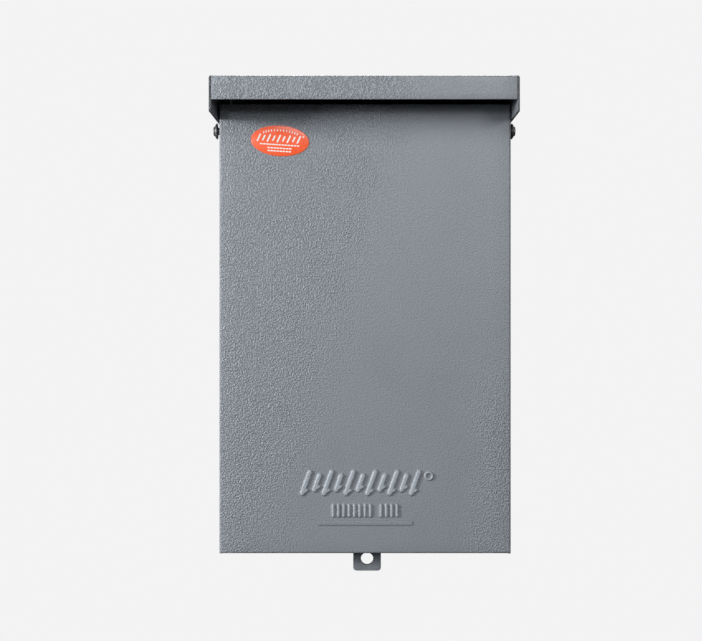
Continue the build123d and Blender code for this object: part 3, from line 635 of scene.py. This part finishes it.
# --- Marks pressed into the cover ---
class MarkLayout:
    """Wordless marks: leaning strokes, a ring, upright strokes and a faint bar."""

    strokes = 11
    stroke_band = 66.0 * MM
    stroke_tall = 15.0 * MM
    stroke_wide = 2.4 * MM
    shorter = 0.28
    lean = radians(20)
    hook = (2.6 * MM, 1.8 * MM)
    hook_wide = 1.5 * MM
    rise = 39.0 * MM
    shift = -2.4 * MM
    ring_at = (35.0 * MM, 42.75 * MM)
    ring_r = 2.0 * MM
    ring_wide = 1.0 * MM
    posts = 13
    post_gap = 8
    post_band = 38.0 * MM
    post_tall = 7.2 * MM
    post_wide = 1.5 * MM
    post_rise = 23.7 * MM
    bar_rise = 16.8 * MM
    bar_wide = 53.0 * MM
    bar_tall = 2.4 * MM
    bar_share = 0.3
    shoulder = 0.8 * MM
    reach = 4.0 * MM
    band = (13.0 * MM, 51.0 * MM)
    band_half = 41.0 * MM
    dense = 0.36 * MM


def mark_lines():
    """Every pressed line as (x, z, half length, lean, half width, relief)."""
    m = MarkLayout
    lines = []
    pitch = m.stroke_band / m.strokes
    across, up = m.hook
    for i in range(m.strokes):
        tall = m.stroke_tall * (1.0 - m.shorter * (i % 2))
        x = m.shift + (i - (m.strokes - 1) / 2) * pitch
        half = (tall - m.stroke_wide) / 2
        lines.append((x, BOTTOM + m.rise, half, m.lean, m.stroke_wide / 2, 1.0))
        foot_x = x - half * sin(m.lean)
        foot_z = BOTTOM + m.rise - half * cos(m.lean)
        lines.append((foot_x + across / 2, foot_z + up / 2, hypot(across, up) / 2, atan2(across, up),
                      m.hook_wide / 2, 1.0))
    step = m.post_band / m.posts
    for i in range(m.posts):
        if i != m.post_gap:
            x = (i - (m.posts - 1) / 2) * step
            half = (m.post_tall - m.post_wide) / 2
            lines.append((x, BOTTOM + m.post_rise, half, 0.0, m.post_wide / 2, 1.0))
    bar_half = (m.bar_wide - m.bar_tall) / 2
    lines.append((0.0, BOTTOM + m.bar_rise, bar_half, pi / 2, m.bar_tall / 2, m.bar_share))
    return lines


def shoulder(edge):
    """Share of the full relief at a distance outside a mark's edge."""
    t = clamped(0.5 - edge / MarkLayout.shoulder)
    return t * t * (3 - 2 * t)


def pressed_height(x, z, lines):
    """How far the cover's face stands out at a point."""
    m = MarkLayout
    best = 0.0
    for cx, cz, half, lean, wide, relief in lines:
        if abs(x - cx) > half + m.reach and abs(z - cz) > half + m.reach:
            continue
        edge = capsule_distance(x, z, cx, cz, half, lean) - wide
        best = max(best, relief * shoulder(edge))
    ring_x, ring_z = m.ring_at
    edge = abs(hypot(x - ring_x, z - BOTTOM - ring_z) - m.ring_r) - m.ring_wide / 2
    return MARK_RELIEF * max(best, shoulder(edge))


def steps(start, end, pitch):
    """Evenly spaced values from start to end, no further apart than pitch."""
    count = max(1, ceil(abs(end - start) / pitch))
    return [start + (end - start) * i / count for i in range(count + 1)]


def joined(*runs):
    """Runs of values end to end, with repeats dropped."""
    values = []
    for run in runs:
        for value in run:
            if not values or abs(value - values[-1]) > MERGE:
                values.append(value)
    return values


# --- Enclosure pieces ---
CHAMFER = 14.0 * MM
CHAMFER_SLOPE = 2
TONGUE_OVERLAP = 0.9
THROUGH = 2.2


def folded_side(half, start, end, bend, pitch):
    """Points along a side of a folded sheet and round its bend, as (across, along)."""
    way = copysign(1, end - start)
    centre = end - way * bend
    side = [(half, at) for at in steps(start, centre, pitch)]
    return side + [(half - bend + bend * cos(a), centre + way * bend * sin(a)) for a in quarter()[1:-1]]


def add_corners(bm, column, lines, point):
    """Strips at both ends of a fold, beside the flange that is bent out of it."""
    for sign in BOTH:
        run = column if sign > 0 else column[::-1]
        add_grid(bm, [[point(sign * across, along, at) for across, along in run] for at in lines])


def cover_skin(sheet):
    """Outer faces of the cover: face, side flanges and bottom flange."""
    bend = sheet.bend
    half = COVER_HALF
    back = high("cover").y
    face = COVER_FACE
    corner = half - sheet.thickness - sheet.seam
    m = MarkLayout
    x_lines = joined(
        steps(-(half - bend), -corner, 1 * MM), steps(-corner, -m.band_half, 10 * MM),
        steps(-m.band_half, m.band_half, m.dense), steps(m.band_half, corner, 10 * MM),
        steps(corner, half - bend, 1 * MM))
    marks_low, marks_high = (BOTTOM + rise for rise in m.band)
    z_lines = joined(
        steps(COVER_TOP, marks_high, 12 * MM), steps(marks_high, marks_low, m.dense),
        steps(marks_low, BOTTOM + bend, 6 * MM))
    side = folded_side(half, back, face, bend, 7 * MM)
    lines = mark_lines()

    def shifted(x, y, z):
        return (COVER_MIDDLE + x, y, z)

    def flange(sign, z):
        points = []
        for x, y in side:
            top = COVER_TOP - CHAMFER_SLOPE * max(0.0, y - (back - CHAMFER))
            lowered = BOTTOM + (z - BOTTOM) * (top - BOTTOM) / (COVER_TOP - BOTTOM)
            points.append(shifted(sign * x, y, lowered))
        return points

    bm = bmesh.new()
    rows = []
    for z in z_lines:
        front = [shifted(x, face - pressed_height(x, z, lines), z) for x in x_lines]
        rows.append(flange(-1, z) + front + flange(1, z)[::-1])
    add_grid(bm, rows)
    inner = [x for x in x_lines if abs(x) <= corner + MERGE]
    fold = [(face + bend - bend * cos(a), BOTTOM + bend - bend * sin(a)) for a in quarter()]
    fold += [(y, BOTTOM) for y in steps(face + bend, FLANGE_BACK, 5 * MM)[1:]]
    add_grid(bm, [[shifted(x, y, z) for x in inner] for y, z in fold])
    outer = [(x, face) for x in x_lines if x >= corner - MERGE]
    add_corners(bm, outer + side[::-1], (BOTTOM + bend, BOTTOM), shifted)
    return bm


def tongue_edge(dx, dz, half, up, down, corner):
    """Where a ray from the padlock hole's middle leaves the tongue, measured from that middle."""
    reach = min(half / abs(dx) if dx else inf, (up if dz > 0 else down) / abs(dz) if dz else inf)
    inner_x = half - corner
    inner_z = corner - down
    if abs(dx * reach) > inner_x and dz * reach < inner_z:
        # The ray meets the corner's arc instead of the square corner.
        sx = copysign(inner_x, dx)
        b = dx * sx + dz * inner_z
        c = sx * sx + inner_z * inner_z - corner * corner
        reach = b + sqrt(max(0.0, b * b - c))
    return dx * reach, dz * reach


def hasp_tongue(thickness):
    """Tongue with rounded corners and a round padlock hole, as a closed mesh."""
    half = 7.8 * MM
    corner = 1.8 * MM
    hole_r = 3.5 * MM
    hole_z = low("cover").z + 6.7 * MM
    up = BOTTOM + thickness * TONGUE_OVERLAP - hole_z
    down = hole_z - low("cover").z
    rays = [(cos(a), sin(a)) for a in circle(64)]
    hole = [(hole_r * dx, hole_r * dz) for dx, dz in rays]
    outline = [tongue_edge(dx, dz, half, up, down, corner) for dx, dz in rays]
    bm = bmesh.new()
    loops = []
    for y in (TONGUE_FRONT, TONGUE_FRONT + thickness):
        for loop in (outline, hole):
            loops.append([bm.verts.new((HASP_X + x, y, hole_z + z)) for x, z in loop])
    front_out, front_in, back_out, back_in = loops
    bridge(bm, front_out, front_in)
    bridge(bm, front_in, back_in)
    bridge(bm, back_in, back_out)
    bridge(bm, back_out, front_out)
    bmesh.ops.recalc_face_normals(bm, faces=bm.faces)
    return with_modifiers(mesh_from(bm), edge_bevel(TONGUE_EASE, 60))


def join_meshes(*meshes):
    bm = bmesh.new()
    for mesh in meshes:
        bm.from_mesh(mesh)
    return mesh_from(bm)


def drilled(mesh, radius):
    """Bores the hinge holes along X through both side flanges."""
    tool = bmesh.new()
    place = Matrix.Translation((COVER_MIDDLE, HINGE.y, HINGE.z)) @ Matrix.Rotation(pi / 2, 4, "Y")
    bmesh.ops.create_cone(
        tool, cap_ends=True, segments=32, radius1=radius, radius2=radius,
        depth=THROUGH * COVER_HALF, matrix=place)
    return cut_away(mesh, tool)


class BOX_OT_cover(bpy.types.Operator):
    """Folded cover with its pressed marks and its half of the hasp"""
    bl_idname = "box.cover"
    bl_label = "Cover"

    def execute(self, context):
        sheet = context.scene.box_sheet
        hinge_hole_r = 2.05 * MM
        shell = thickened(cover_skin(sheet), sheet.thickness)
        mesh = drilled(join_meshes(shell, hasp_tongue(sheet.thickness)), hinge_hole_r)
        heights = [clamped((COVER_FACE - v.co.y) / MARK_RELIEF) for v in mesh.vertices]
        store(mesh, "raised", heights, "POINT")
        add_piece("cover_shell", mesh, "cover", "enclosure_paint", "cover")
        return {"FINISHED"}


class BOX_OT_hood(bpy.types.Operator):
    """Rain hood: a folded top with a front lip between two side cheeks"""
    bl_idname = "box.hood"
    bl_label = "Rain hood"

    def execute(self, context):
        sheet = context.scene.box_sheet
        bend = sheet.bend
        half = high("rain_hood").x
        lip_tall = 12.7 * MM
        lip_half = half - sheet.thickness - sheet.seam
        set_back = 0.35 * MM
        side = folded_side(half, low("rain_hood").z, TOP, bend, 6 * MM)
        x_lines = joined(
            steps(-(half - bend), -lip_half, 1 * MM), steps(-lip_half, lip_half, 10 * MM),
            steps(lip_half, half - bend, 1 * MM))
        bm = bmesh.new()
        rows = []
        for y in steps(0.0, LIP_FACE + bend, 10 * MM):
            left = [(-x, y, z) for x, z in side]
            right = [(x, y, z) for x, z in reversed(side)]
            rows.append(left + [(x, y, TOP) for x in x_lines] + right)
        add_grid(bm, rows)
        fold = [(LIP_FACE + bend - bend * sin(a), TOP - bend + bend * cos(a)) for a in quarter()]
        fold += [(LIP_FACE, z) for z in steps(TOP - bend, TOP - lip_tall, 4 * MM)[1:]]
        inner = [x for x in x_lines if abs(x) <= lip_half + MERGE]
        add_grid(bm, [[(x, y, z) for x in inner] for y, z in fold])
        outer = [(x, TOP) for x in x_lines if x >= lip_half - MERGE]
        cheeks = (LIP_FACE + bend, LIP_FACE + set_back)
        add_corners(bm, outer + side[::-1], cheeks, lambda x, z, y: (x, y, z))
        # The hood's inner faces get painted shade, for the dark under the hood.
        mesh = thickened(bm, sheet.thickness, inside=0.3)
        add_piece("hood_shell", mesh, "enclosure", "enclosure_paint", "rain_hood")
        return {"FINISHED"}


class BOX_OT_back_box(bpy.types.Operator):
    """Back box and bottom plate, with rounded folds"""
    bl_idname = "box.back_box"
    bl_label = "Back box"

    def execute(self, context):
        for node in ("back_box", "bottom_plate"):
            add_piece(node + "_shell", softened(node, 0.25 * MM), "enclosure", "enclosure_paint", node)
        return {"FINISHED"}


# --- Labels ---
def flat_capsule(bm, x, z, half, lean, wide, y_back, y_front, place):
    """Thin raised capsule on a plane that faces the front."""
    ends = 6
    outline = []
    for sign in (1, -1):
        for i in range(ends + 1):
            a = pi * i / ends - sign * pi / 2
            outline.append((sign * half + wide * cos(a), wide * sin(a)))
    c = cos(pi / 2 - lean)
    s = sin(pi / 2 - lean)
    points = [place(x + u * c - v * s, z + u * s + v * c) for u, v in outline]
    front = [bm.verts.new((px, y_front, pz)) for px, pz in points]
    back = [bm.verts.new((px, y_back, pz)) for px, pz in points]
    bm.faces.new(front)
    bm.faces.new(back[::-1])
    bridge(bm, front, back)


def outward_mesh(bm):
    """The mesh of closed shells, with their faces pointing outwards."""
    bmesh.ops.recalc_face_normals(bm, faces=bm.faces)
    return mesh_from(bm)


class BOX_OT_labels(bpy.types.Operator):
    """Oval label with plain printed bars, and the blank data sheet inside the cover"""
    bl_idname = "box.labels"
    bl_label = "Labels"

    def execute(self, context):
        centre = middle("badge")
        turn = context.scene.box_labels.tilt
        ink_face = low("badge").y
        face = ink_face + 0.02 * MM

        def place(x, z):
            return (centre.x + x * cos(turn) - z * sin(turn), centre.z + x * sin(turn) + z * cos(turn))

        self.oval(face, place)
        self.oval_print(face, ink_face, place)
        self.inner_sheet()
        return {"FINISHED"}

    def oval(self, face, place):
        """Thin oval with an eased rim, as rings given by (share of the size, place in depth)."""
        half_wide = 16.0 * MM
        half_high = 8.4 * MM
        rings = ((1.0, high("badge").y), (1.0, face + 0.06 * MM), (0.994, face + 0.02 * MM),
                 (0.985, face), (0.5, face))
        bm = bmesh.new()
        loops = []
        for size, y in rings:
            points = [place(half_wide * size * cos(a), half_high * size * sin(a)) for a in circle(96)]
            loops.append([bm.verts.new((x, y, z)) for x, z in points])
        for outer, inner in zip(loops, loops[1:]):
            bridge(bm, outer, inner)
        bm.faces.new(loops[-1])
        bm.faces.new(loops[0])
        add_piece("oval_label", outward_mesh(bm), "cover", "orange_label", "badge")

    def oval_print(self, face, ink_face, place):
        """Plain bars: an arc at the top, leaning strokes with a dot, and three rows below."""
        bm = bmesh.new()

        def bar(x, z, half, wide, lean=0.0):
            flat_capsule(bm, x * MM, z * MM, half * MM, lean, wide * MM, face, ink_face, place)

        arc_count, arc_step, arc_wide, arc_high, arc_drop = 13, 7.2, 13.464, 6.0, 0.2
        for i in range(arc_count):
            a = radians(90 + (arc_count // 2 - i) * arc_step)
            bar(arc_wide * cos(a), arc_high * sin(a) - arc_drop, 0.36, 0.27)
        strokes, pitch, shift, rise = 9, 2.75, -0.7, 1.2
        for i in range(strokes):
            tall = 1.25 if i % 2 else 1.9
            bar((i - strokes // 2) * pitch + shift, rise, tall, 0.42, radians(22))
        bar(12.7, 2.9, 0.05, 0.45)
        for z, count, half_row in ((-2.2, 13, 11.0), (-4.1, 8, 6.8), (-5.7, 8, 6.6)):
            for i in range(count):
                bar((i - (count - 1) / 2) * 2 * half_row / count, z, 0.42, 0.33, pi / 2)
        add_piece("oval_label_print", outward_mesh(bm), "cover", "orange_label", finish="label_ink")

    def inner_sheet(self):
        """Data sheet with rows of plain bars, so that no words are printed."""
        sheet_low, sheet_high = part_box("inner_label")
        add_piece("data_sheet", softened("inner_label", 0.05 * MM), "cover", "white_label", "inner_label")
        face = sheet_high.y
        margin = 8 * MM
        gap = 1.2 * MM
        row_pitch = 4.0 * MM
        right = sheet_high.x - margin
        z = sheet_high.z - margin
        rng = random.Random(4)
        bm = bmesh.new()
        while z > sheet_low.z + margin:
            cursor = sheet_low.x + margin
            while cursor < right - 4 * MM:
                length = min(rng.uniform(3, 11) * MM, right - cursor)
                half = max(length / 2 - 0.5 * MM, 0.1 * MM)
                flat_capsule(bm, cursor + length / 2, z, half, pi / 2, 0.5 * MM,
                             face - 0.01 * MM, face + 0.02 * MM, lambda x, z: (x, z))
                cursor += length + gap
            z -= row_pitch
        add_piece("data_sheet_print", outward_mesh(bm), "cover", "white_label", finish="label_print")


# --- Fasteners by Geometry Nodes ---
def fastener_tree():
    """Geometry Nodes group that sets a head on each point, aimed along its stored direction."""
    tree = bpy.data.node_groups.get("fastener_rows")
    if tree:
        return tree
    tree = bpy.data.node_groups.new("fastener_rows", "GeometryNodeTree")
    sockets = (("Places", "Geometry", None), ("Head", "Object", None), ("Size", "Float", 1.0),
               ("Spin", "Float", pi), ("Seed", "Int", 3), ("Finish", "Material", None))
    for label, kind, default in sockets:
        socket = tree.interface.new_socket(label, in_out="INPUT", socket_type="NodeSocket" + kind)
        if default is not None:
            socket.default_value = default
    tree.interface.new_socket("Fasteners", in_out="OUTPUT", socket_type="NodeSocketGeometry")
    n = Nodes(tree)
    given = n.add("NodeGroupInput").outputs
    aim = n.add("GeometryNodeInputNamedAttribute", {"Name": "aim"}, data_type="FLOAT_VECTOR")
    aimed = n.add("FunctionNodeAlignRotationToVector", {"Vector": aim.outputs["Attribute"]}, axis="Z")
    chance = n.add("FunctionNodeRandomValue", {"Seed": given["Seed"]}, data_type="FLOAT")
    least, most = [s for s in chance.inputs if s.type == "VALUE" and s.enabled]
    n.put(least, 0.0)
    n.put(most, given["Spin"])
    about = n.add("ShaderNodeCombineXYZ", {"Z": next(s for s in chance.outputs if s.enabled)})
    spun = n.add("FunctionNodeEulerToRotation", {0: about.outputs[0]})
    turn = n.add(
        "FunctionNodeRotateRotation", {"Rotation": aimed.outputs[0], "Rotate By": spun.outputs[0]},
        rotation_space="LOCAL")
    head = n.add("GeometryNodeObjectInfo", {"Object": given["Head"]}, transform_space="ORIGINAL")
    placed = n.add("GeometryNodeInstanceOnPoints", {
        "Points": given["Places"], "Instance": head.outputs["Geometry"], "Rotation": turn.outputs[0],
        "Scale": given["Size"]})
    real = n.add("GeometryNodeRealizeInstances", {"Geometry": placed.outputs[0]})
    finished = n.add("GeometryNodeSetMaterial", {"Geometry": real.outputs[0], "Material": given["Finish"]})
    n.add("NodeGroupOutput", {0: finished.outputs[0]})
    return tree


def add_rows(node, head_mesh, places, slot, seed=3, body="enclosure"):
    """Replaces a CAD node by a head at each (point, direction), set there by the fastener group."""
    head = linked("head_pattern", head_mesh)
    points = bpy.data.meshes.new("places")
    points.from_pydata([tuple(p) for p, aim in places], [], [])
    aims = points.attributes.new("aim", "FLOAT_VECTOR", "POINT")
    for item, (p, aim) in zip(aims.data, places):
        item.vector = aim
    holder = linked("rows", points)
    modifier = holder.modifiers.new("rows", "NODES")
    modifier.node_group = fastener_tree()
    values = {"Head": head, "Spin": pi, "Seed": seed, "Finish": finish_of(slot)}
    for item in modifier.node_group.interface.items_tree:
        if item.in_out == "INPUT" and item.name in values:
            modifier[item.identifier] = values[item.name]
    mesh = evaluated(holder)
    bpy.data.objects.remove(holder)
    bpy.data.objects.remove(head)
    add_piece(node + "_set", mesh, body, slot, node)


def solids_of(node):
    """Lowest and highest corner of each separate solid of a CAD node."""
    bm = bmesh.new()
    bm.from_mesh(frame["nodes"][node].data)
    bmesh.ops.remove_doubles(bm, verts=bm.verts, dist=MERGE)
    left = set(bm.verts)
    found = []
    while left:
        todo = [left.pop()]
        island = []
        while todo:
            vert = todo.pop()
            island.append(vert.co.copy())
            near = {edge.other_vert(vert) for edge in vert.link_edges} & left
            left -= near
            todo += near
        found.append(tuple(Vector([pick(c[i] for c in island) for i in range(3)]) for pick in (min, max)))
    bm.free()
    return sorted(found, key=lambda pair: tuple(round(v, 5) for v in pair[0]))


def end_places(node, axis, way=None):
    """(point, direction) at one end of each solid along an axis, or at its outer end if no way is given."""
    places = []
    for corners in solids_of(node):
        point = (corners[0] + corners[1]) / 2
        sign = way or copysign(1, point[axis])
        point[axis] = corners[sign > 0][axis]
        places.append((point, [sign * (i == axis) for i in range(3)]))
    return places


def hinge_places(x):
    return [(Vector((sign * x, HINGE.y, HINGE.z)), (sign, 0, 0)) for sign in BOTH]


def screw_head(radius, head, shank, length, kind, corner, width=None, sunk=0.55):
    """Screw with a recess. Its top is at the origin and it points along +Z."""
    profile = round_rim(radius, corner) + [(radius, -head), (shank, -head), (shank, -length), (0, -length)]
    width = width or radius * (HEX_WIDE if kind == "hex" else CROSS_WIDE)
    return recess(turned(profile), kind, width, head * sunk)


class BOX_OT_fasteners(bpy.types.Operator):
    """Rivets and screws, each group placed by Geometry Nodes"""
    bl_idname = "box.fasteners"
    bl_label = "Fasteners"

    def execute(self, context):
        self.rivets()
        self.front_screws()
        self.hinge_set()
        return {"FINISHED"}

    def rivets(self):
        """Domed rivets with a short shank and an upset tail."""
        radius = 3.2 * MM
        head = 1.0 * MM
        grip = 2.4 * MM
        shank = 1.6 * MM
        tail = -head - grip
        ease = 0.1 * MM
        profile = [(radius * sin(a), -head * (1 - cos(a))) for a in quarter(8)]
        profile += [(shank, -head), (shank, tail), (2.3 * MM, tail - ease), (2.1 * MM, tail - head + ease)]
        profile.append((0, tail - head))
        for node, axis, way in (("hood_rivets", 2, 1), ("bottom_rivets", 0, None)):
            add_rows(node, mesh_from(turned(profile)), end_places(node, axis, way), "enclosure_paint")

    def front_screws(self):
        """Screws driven from the front, then the blades' screws, which are driven from behind."""
        rows = (
            ("base_screws", 3.4, 1.8, 1.7, "cross", 0.81, "zinc_screws", 3),
            ("dead_front_screws", 3.4, 1.8, 1.7, "cross", 0.81, "zinc_screws", 5),
            ("contact_screws", 3.4, 1.8, 1.7, "slot", 0.81, "zinc_screws", 7),
            ("ground_screws", 3.2, 2.5, 2.0, "slot", 1.125, "zinc_screws", 8),
            ("ground_mount_screws", 3.2, 2.5, 2.0, "cross", 1.125, "zinc_screws", 9),
            ("line_lug_screws", 3.5, 1.2, 3.5, "hex", 0.3, "lug_aluminium", 11),
            ("load_lug_screws", 3.5, 1.2, 3.5, "hex", 0.3, "lug_aluminium", 12),
        )
        clear = 0.999
        for node, radius, head, shank, kind, corner, slot, seed in rows:
            first, last = solids_of(node)[0]
            mesh = screw_head(
                radius * MM, head * MM, shank * MM * clear, last.y - first.y, kind, corner * MM)
            add_rows(node, mesh, end_places(node, 1, -1), slot, seed)
        first, last = solids_of("blade_screws")[0]
        mesh = screw_head(2.2 * MM, 0.9 * MM, 1.4 * MM, last.y - first.y, "slot", 0.15 * MM)
        add_rows("blade_screws", mesh, end_places("blade_screws", 1, 1), "zinc_screws", 14, "pullout")

    def hinge_set(self):
        """Hinge screws, their dished washers and their nuts."""
        screw_out = high("hinge_screws").x
        washer_out = high("hinge_washers").x
        head = screw_out - washer_out
        length = screw_out - SCREW_END
        screw = screw_head(2.7 * MM, head, 2.0 * MM, length, "cross", head * 0.7, width=1.0 * MM, sunk=0.6)
        add_rows("hinge_screws", screw, hinge_places(screw_out), "stainless", 2)
        wide = 4.4 * MM
        bore = 2.05 * MM
        thick = 1.2 * MM
        ring = [(bore, 0), (wide - 1.1 * MM, 0), (wide - 0.25 * MM, -thick * 0.45), (wide, -thick * 0.75),
                (wide - 0.1 * MM, -thick), (bore, -thick), (bore, 0)]
        bm = turned(ring)
        bmesh.ops.remove_doubles(bm, verts=bm.verts, dist=MERGE)
        add_rows("hinge_washers", outward_mesh(bm), hinge_places(washer_out), "stainless", 6)
        nuts = softened("hinge_nuts", 0.25 * MM, shortest=2 * MM)
        add_piece("hinge_nuts_set", nuts, "enclosure", "zinc_screws", "hinge_nuts")


# --- Switch ---
class BOX_OT_switch(bpy.types.Operator):
    """Switch base, contacts, lugs, dead front, pull-out head and ground bar"""
    bl_idname = "box.switch"
    bl_label = "Switch"

    def execute(self, context):
        soft = context.scene.box_moulding.softness
        rows = (
            ("switch_base", soft, "enclosure", "dark_phenolic"),
            ("dead_front", 0.2 * MM, "enclosure", "grey_shield"),
            ("line_contacts", 0.2 * MM, "enclosure", "tinned_copper"),
            ("load_contacts", 0.2 * MM, "enclosure", "tinned_copper"),
            ("jaw_springs", 0.12 * MM, "enclosure", "spring_steel"),
            ("line_lugs", 0.35 * MM, "enclosure", "lug_aluminium"),
            ("load_lugs", 0.35 * MM, "enclosure", "lug_aluminium"),
            ("ground_bar", 0.35 * MM, "enclosure", "lug_aluminium"),
            ("pullout_head", soft, "pullout", "black_plastic"),
            ("pullout_blades", 0.15 * MM, "pullout", "tinned_copper"),
        )
        for node, width, body, slot in rows:
            add_piece(node + "_detail", softened(node, width), body, slot, node)
        return {"FINISHED"}


# --- Stage ---
LIGHTS = (
    ("main", (-1.12, -0.50, 0.20), 0.24),
    ("fill", (0.60, -0.95, 0.24), 0.26),
    ("top", (0.10, -1.10, 0.66), 0.60),
    ("glint", (-0.50, -1.55, 0.30), 0.14),
    ("side", (-1.3, 0.7, 0.5), 0.8),
    ("side", (1.3, 0.7, 0.5), 0.8),
    ("back", (0.0, 1.1, 1.1), 0.8),
)
FRAME_WIDE = 702
FRAME_SHIFT = (-15.0, -8.5)
CAMERA_OFF = (0.9 * MM, 3.9 * MM)


class BOX_OT_stage(bpy.types.Operator):
    """Pale floor and backdrop, soft studio light and the camera"""
    bl_idname = "box.stage"
    bl_label = "Stage"

    def execute(self, context):
        stage = context.scene.box_stage
        self.floor(stage)
        self.world(stage)
        for name, place, size in LIGHTS:
            self.light(name, place, size, getattr(stage, name + "_power"))
        self.camera(context.scene, stage)
        context.scene.view_settings.view_transform = "Standard"
        return {"FINISHED"}

    def floor(self, stage):
        """Floor that curves up into a backdrop, with an even glow to the eye and matte to the lights."""
        reach = 3.0
        curve_at = 1.0
        curve = 1.0
        wall = 2.0
        level = CAD_BOX[0][2] - 0.45
        profile = [(-reach, level), (curve_at, level)]
        profile += [(curve_at + curve * sin(a), level + curve - curve * cos(a)) for a in quarter(12)[1:]]
        profile += [(curve_at + curve, level + curve + wall)]
        bm = bmesh.new()
        add_grid(bm, [[(x, y, z) for x in (-reach, 0.0, reach)] for y, z in profile])
        bmesh.ops.recalc_face_normals(bm, faces=bm.faces)
        mesh = mesh_from(bm, "floor")
        mesh.shade_smooth()
        floor = linked("floor", mesh)
        material = bpy.data.materials.new("pale_floor")
        material.use_nodes = True
        n = Nodes(material.node_tree)
        n.tree.nodes.clear()
        glow = n.add("ShaderNodeEmission", {"Color": colour((stage.backdrop,) * 3), "Strength": 1.0})
        matte = n.add("ShaderNodeBsdfDiffuse", {"Color": colour((0.12,) * 3)})
        seen = n.add("ShaderNodeLightPath").outputs["Is Camera Ray"]
        both = n.add("ShaderNodeMixShader", {0: seen, 1: matte.outputs[0], 2: glow.outputs[0]})
        n.add("ShaderNodeOutputMaterial", {"Surface": both.outputs[0]})
        mesh.materials.append(material)

    def world(self, stage):
        world = bpy.data.worlds.new("studio")
        bpy.context.scene.world = world
        world.use_nodes = True
        n = Nodes(world.node_tree)
        n.tree.nodes.clear()
        seen = n.add("ShaderNodeLightPath").outputs["Is Camera Ray"]
        tone = n.mix(seen, colour((stage.surround,) * 3), colour((stage.backdrop,) * 3))
        light = n.add("ShaderNodeBackground", {"Color": tone, "Strength": 1.0})
        n.add("ShaderNodeOutputWorld", {"Surface": light.outputs[0]})

    def light(self, name, place, size, power):
        """Round lamp aimed at the middle of the box."""
        data = bpy.data.lights.new(name, "AREA")
        data.energy = power
        data.shape = "DISK"
        data.size = size
        light = linked(name, data)
        light.location = place
        target = Vector((0, COVER_FACE / 2, 0))
        light.rotation_euler = (target - light.location).to_track_quat("-Z", "Y").to_euler()

    def camera(self, scene, stage):
        data = bpy.data.cameras.new("camera")
        data.lens = stage.lens
        data.sensor_width = 36.0
        data.shift_x = FRAME_SHIFT[0] / FRAME_WIDE
        data.shift_y = FRAME_SHIFT[1] / FRAME_WIDE
        data.clip_start = 0.01
        camera = linked("camera", data)
        camera.location = (CAMERA_OFF[0], COVER_FACE - stage.distance, CAMERA_OFF[1])
        camera.rotation_euler = (pi / 2, 0, 0)
        scene.camera = camera


# --- Panel and registration ---
OPERATORS = (
    BOX_OT_cover, BOX_OT_hood, BOX_OT_back_box, BOX_OT_labels,
    BOX_OT_fasteners, BOX_OT_switch, BOX_OT_stage)


class BOX_PT_pieces(bpy.types.Panel):
    """Lists the pieces of the box and the values that they use"""
    bl_idname = "BOX_PT_pieces"
    bl_label = "Disconnect Box"
    bl_space_type = "VIEW_3D"
    bl_region_type = "UI"
    bl_category = "Disconnect Box"

    def draw(self, context):
        for group in GROUPS:
            values = getattr(context.scene, group)
            column = self.layout.column(align=True)
            for key in values.bl_rna.properties.keys():
                if key not in ("rna_type", "name"):
                    column.prop(values, key)
        for operator in OPERATORS:
            self.layout.operator(operator.bl_idname)


GROUPS = {"box_sheet": SheetMetal, "box_moulding": Moulding, "box_labels": Labels, "box_stage": Stage}
CLASSES = (*GROUPS.values(), *OPERATORS, BOX_PT_pieces)


def register():
    for item in CLASSES:
        bpy.utils.register_class(item)
    for name, group in GROUPS.items():
        setattr(bpy.types.Scene, name, bpy.props.PointerProperty(type=group))


def unregister():
    for name in GROUPS:
        delattr(bpy.types.Scene, name)
    for item in reversed(CLASSES):
        bpy.utils.unregister_class(item)


def main():
    register()
    for operator in OPERATORS:
        group, name = operator.bl_idname.split(".")
        getattr(getattr(bpy.ops, group), name)()


if __name__ == "__main__":
    main()
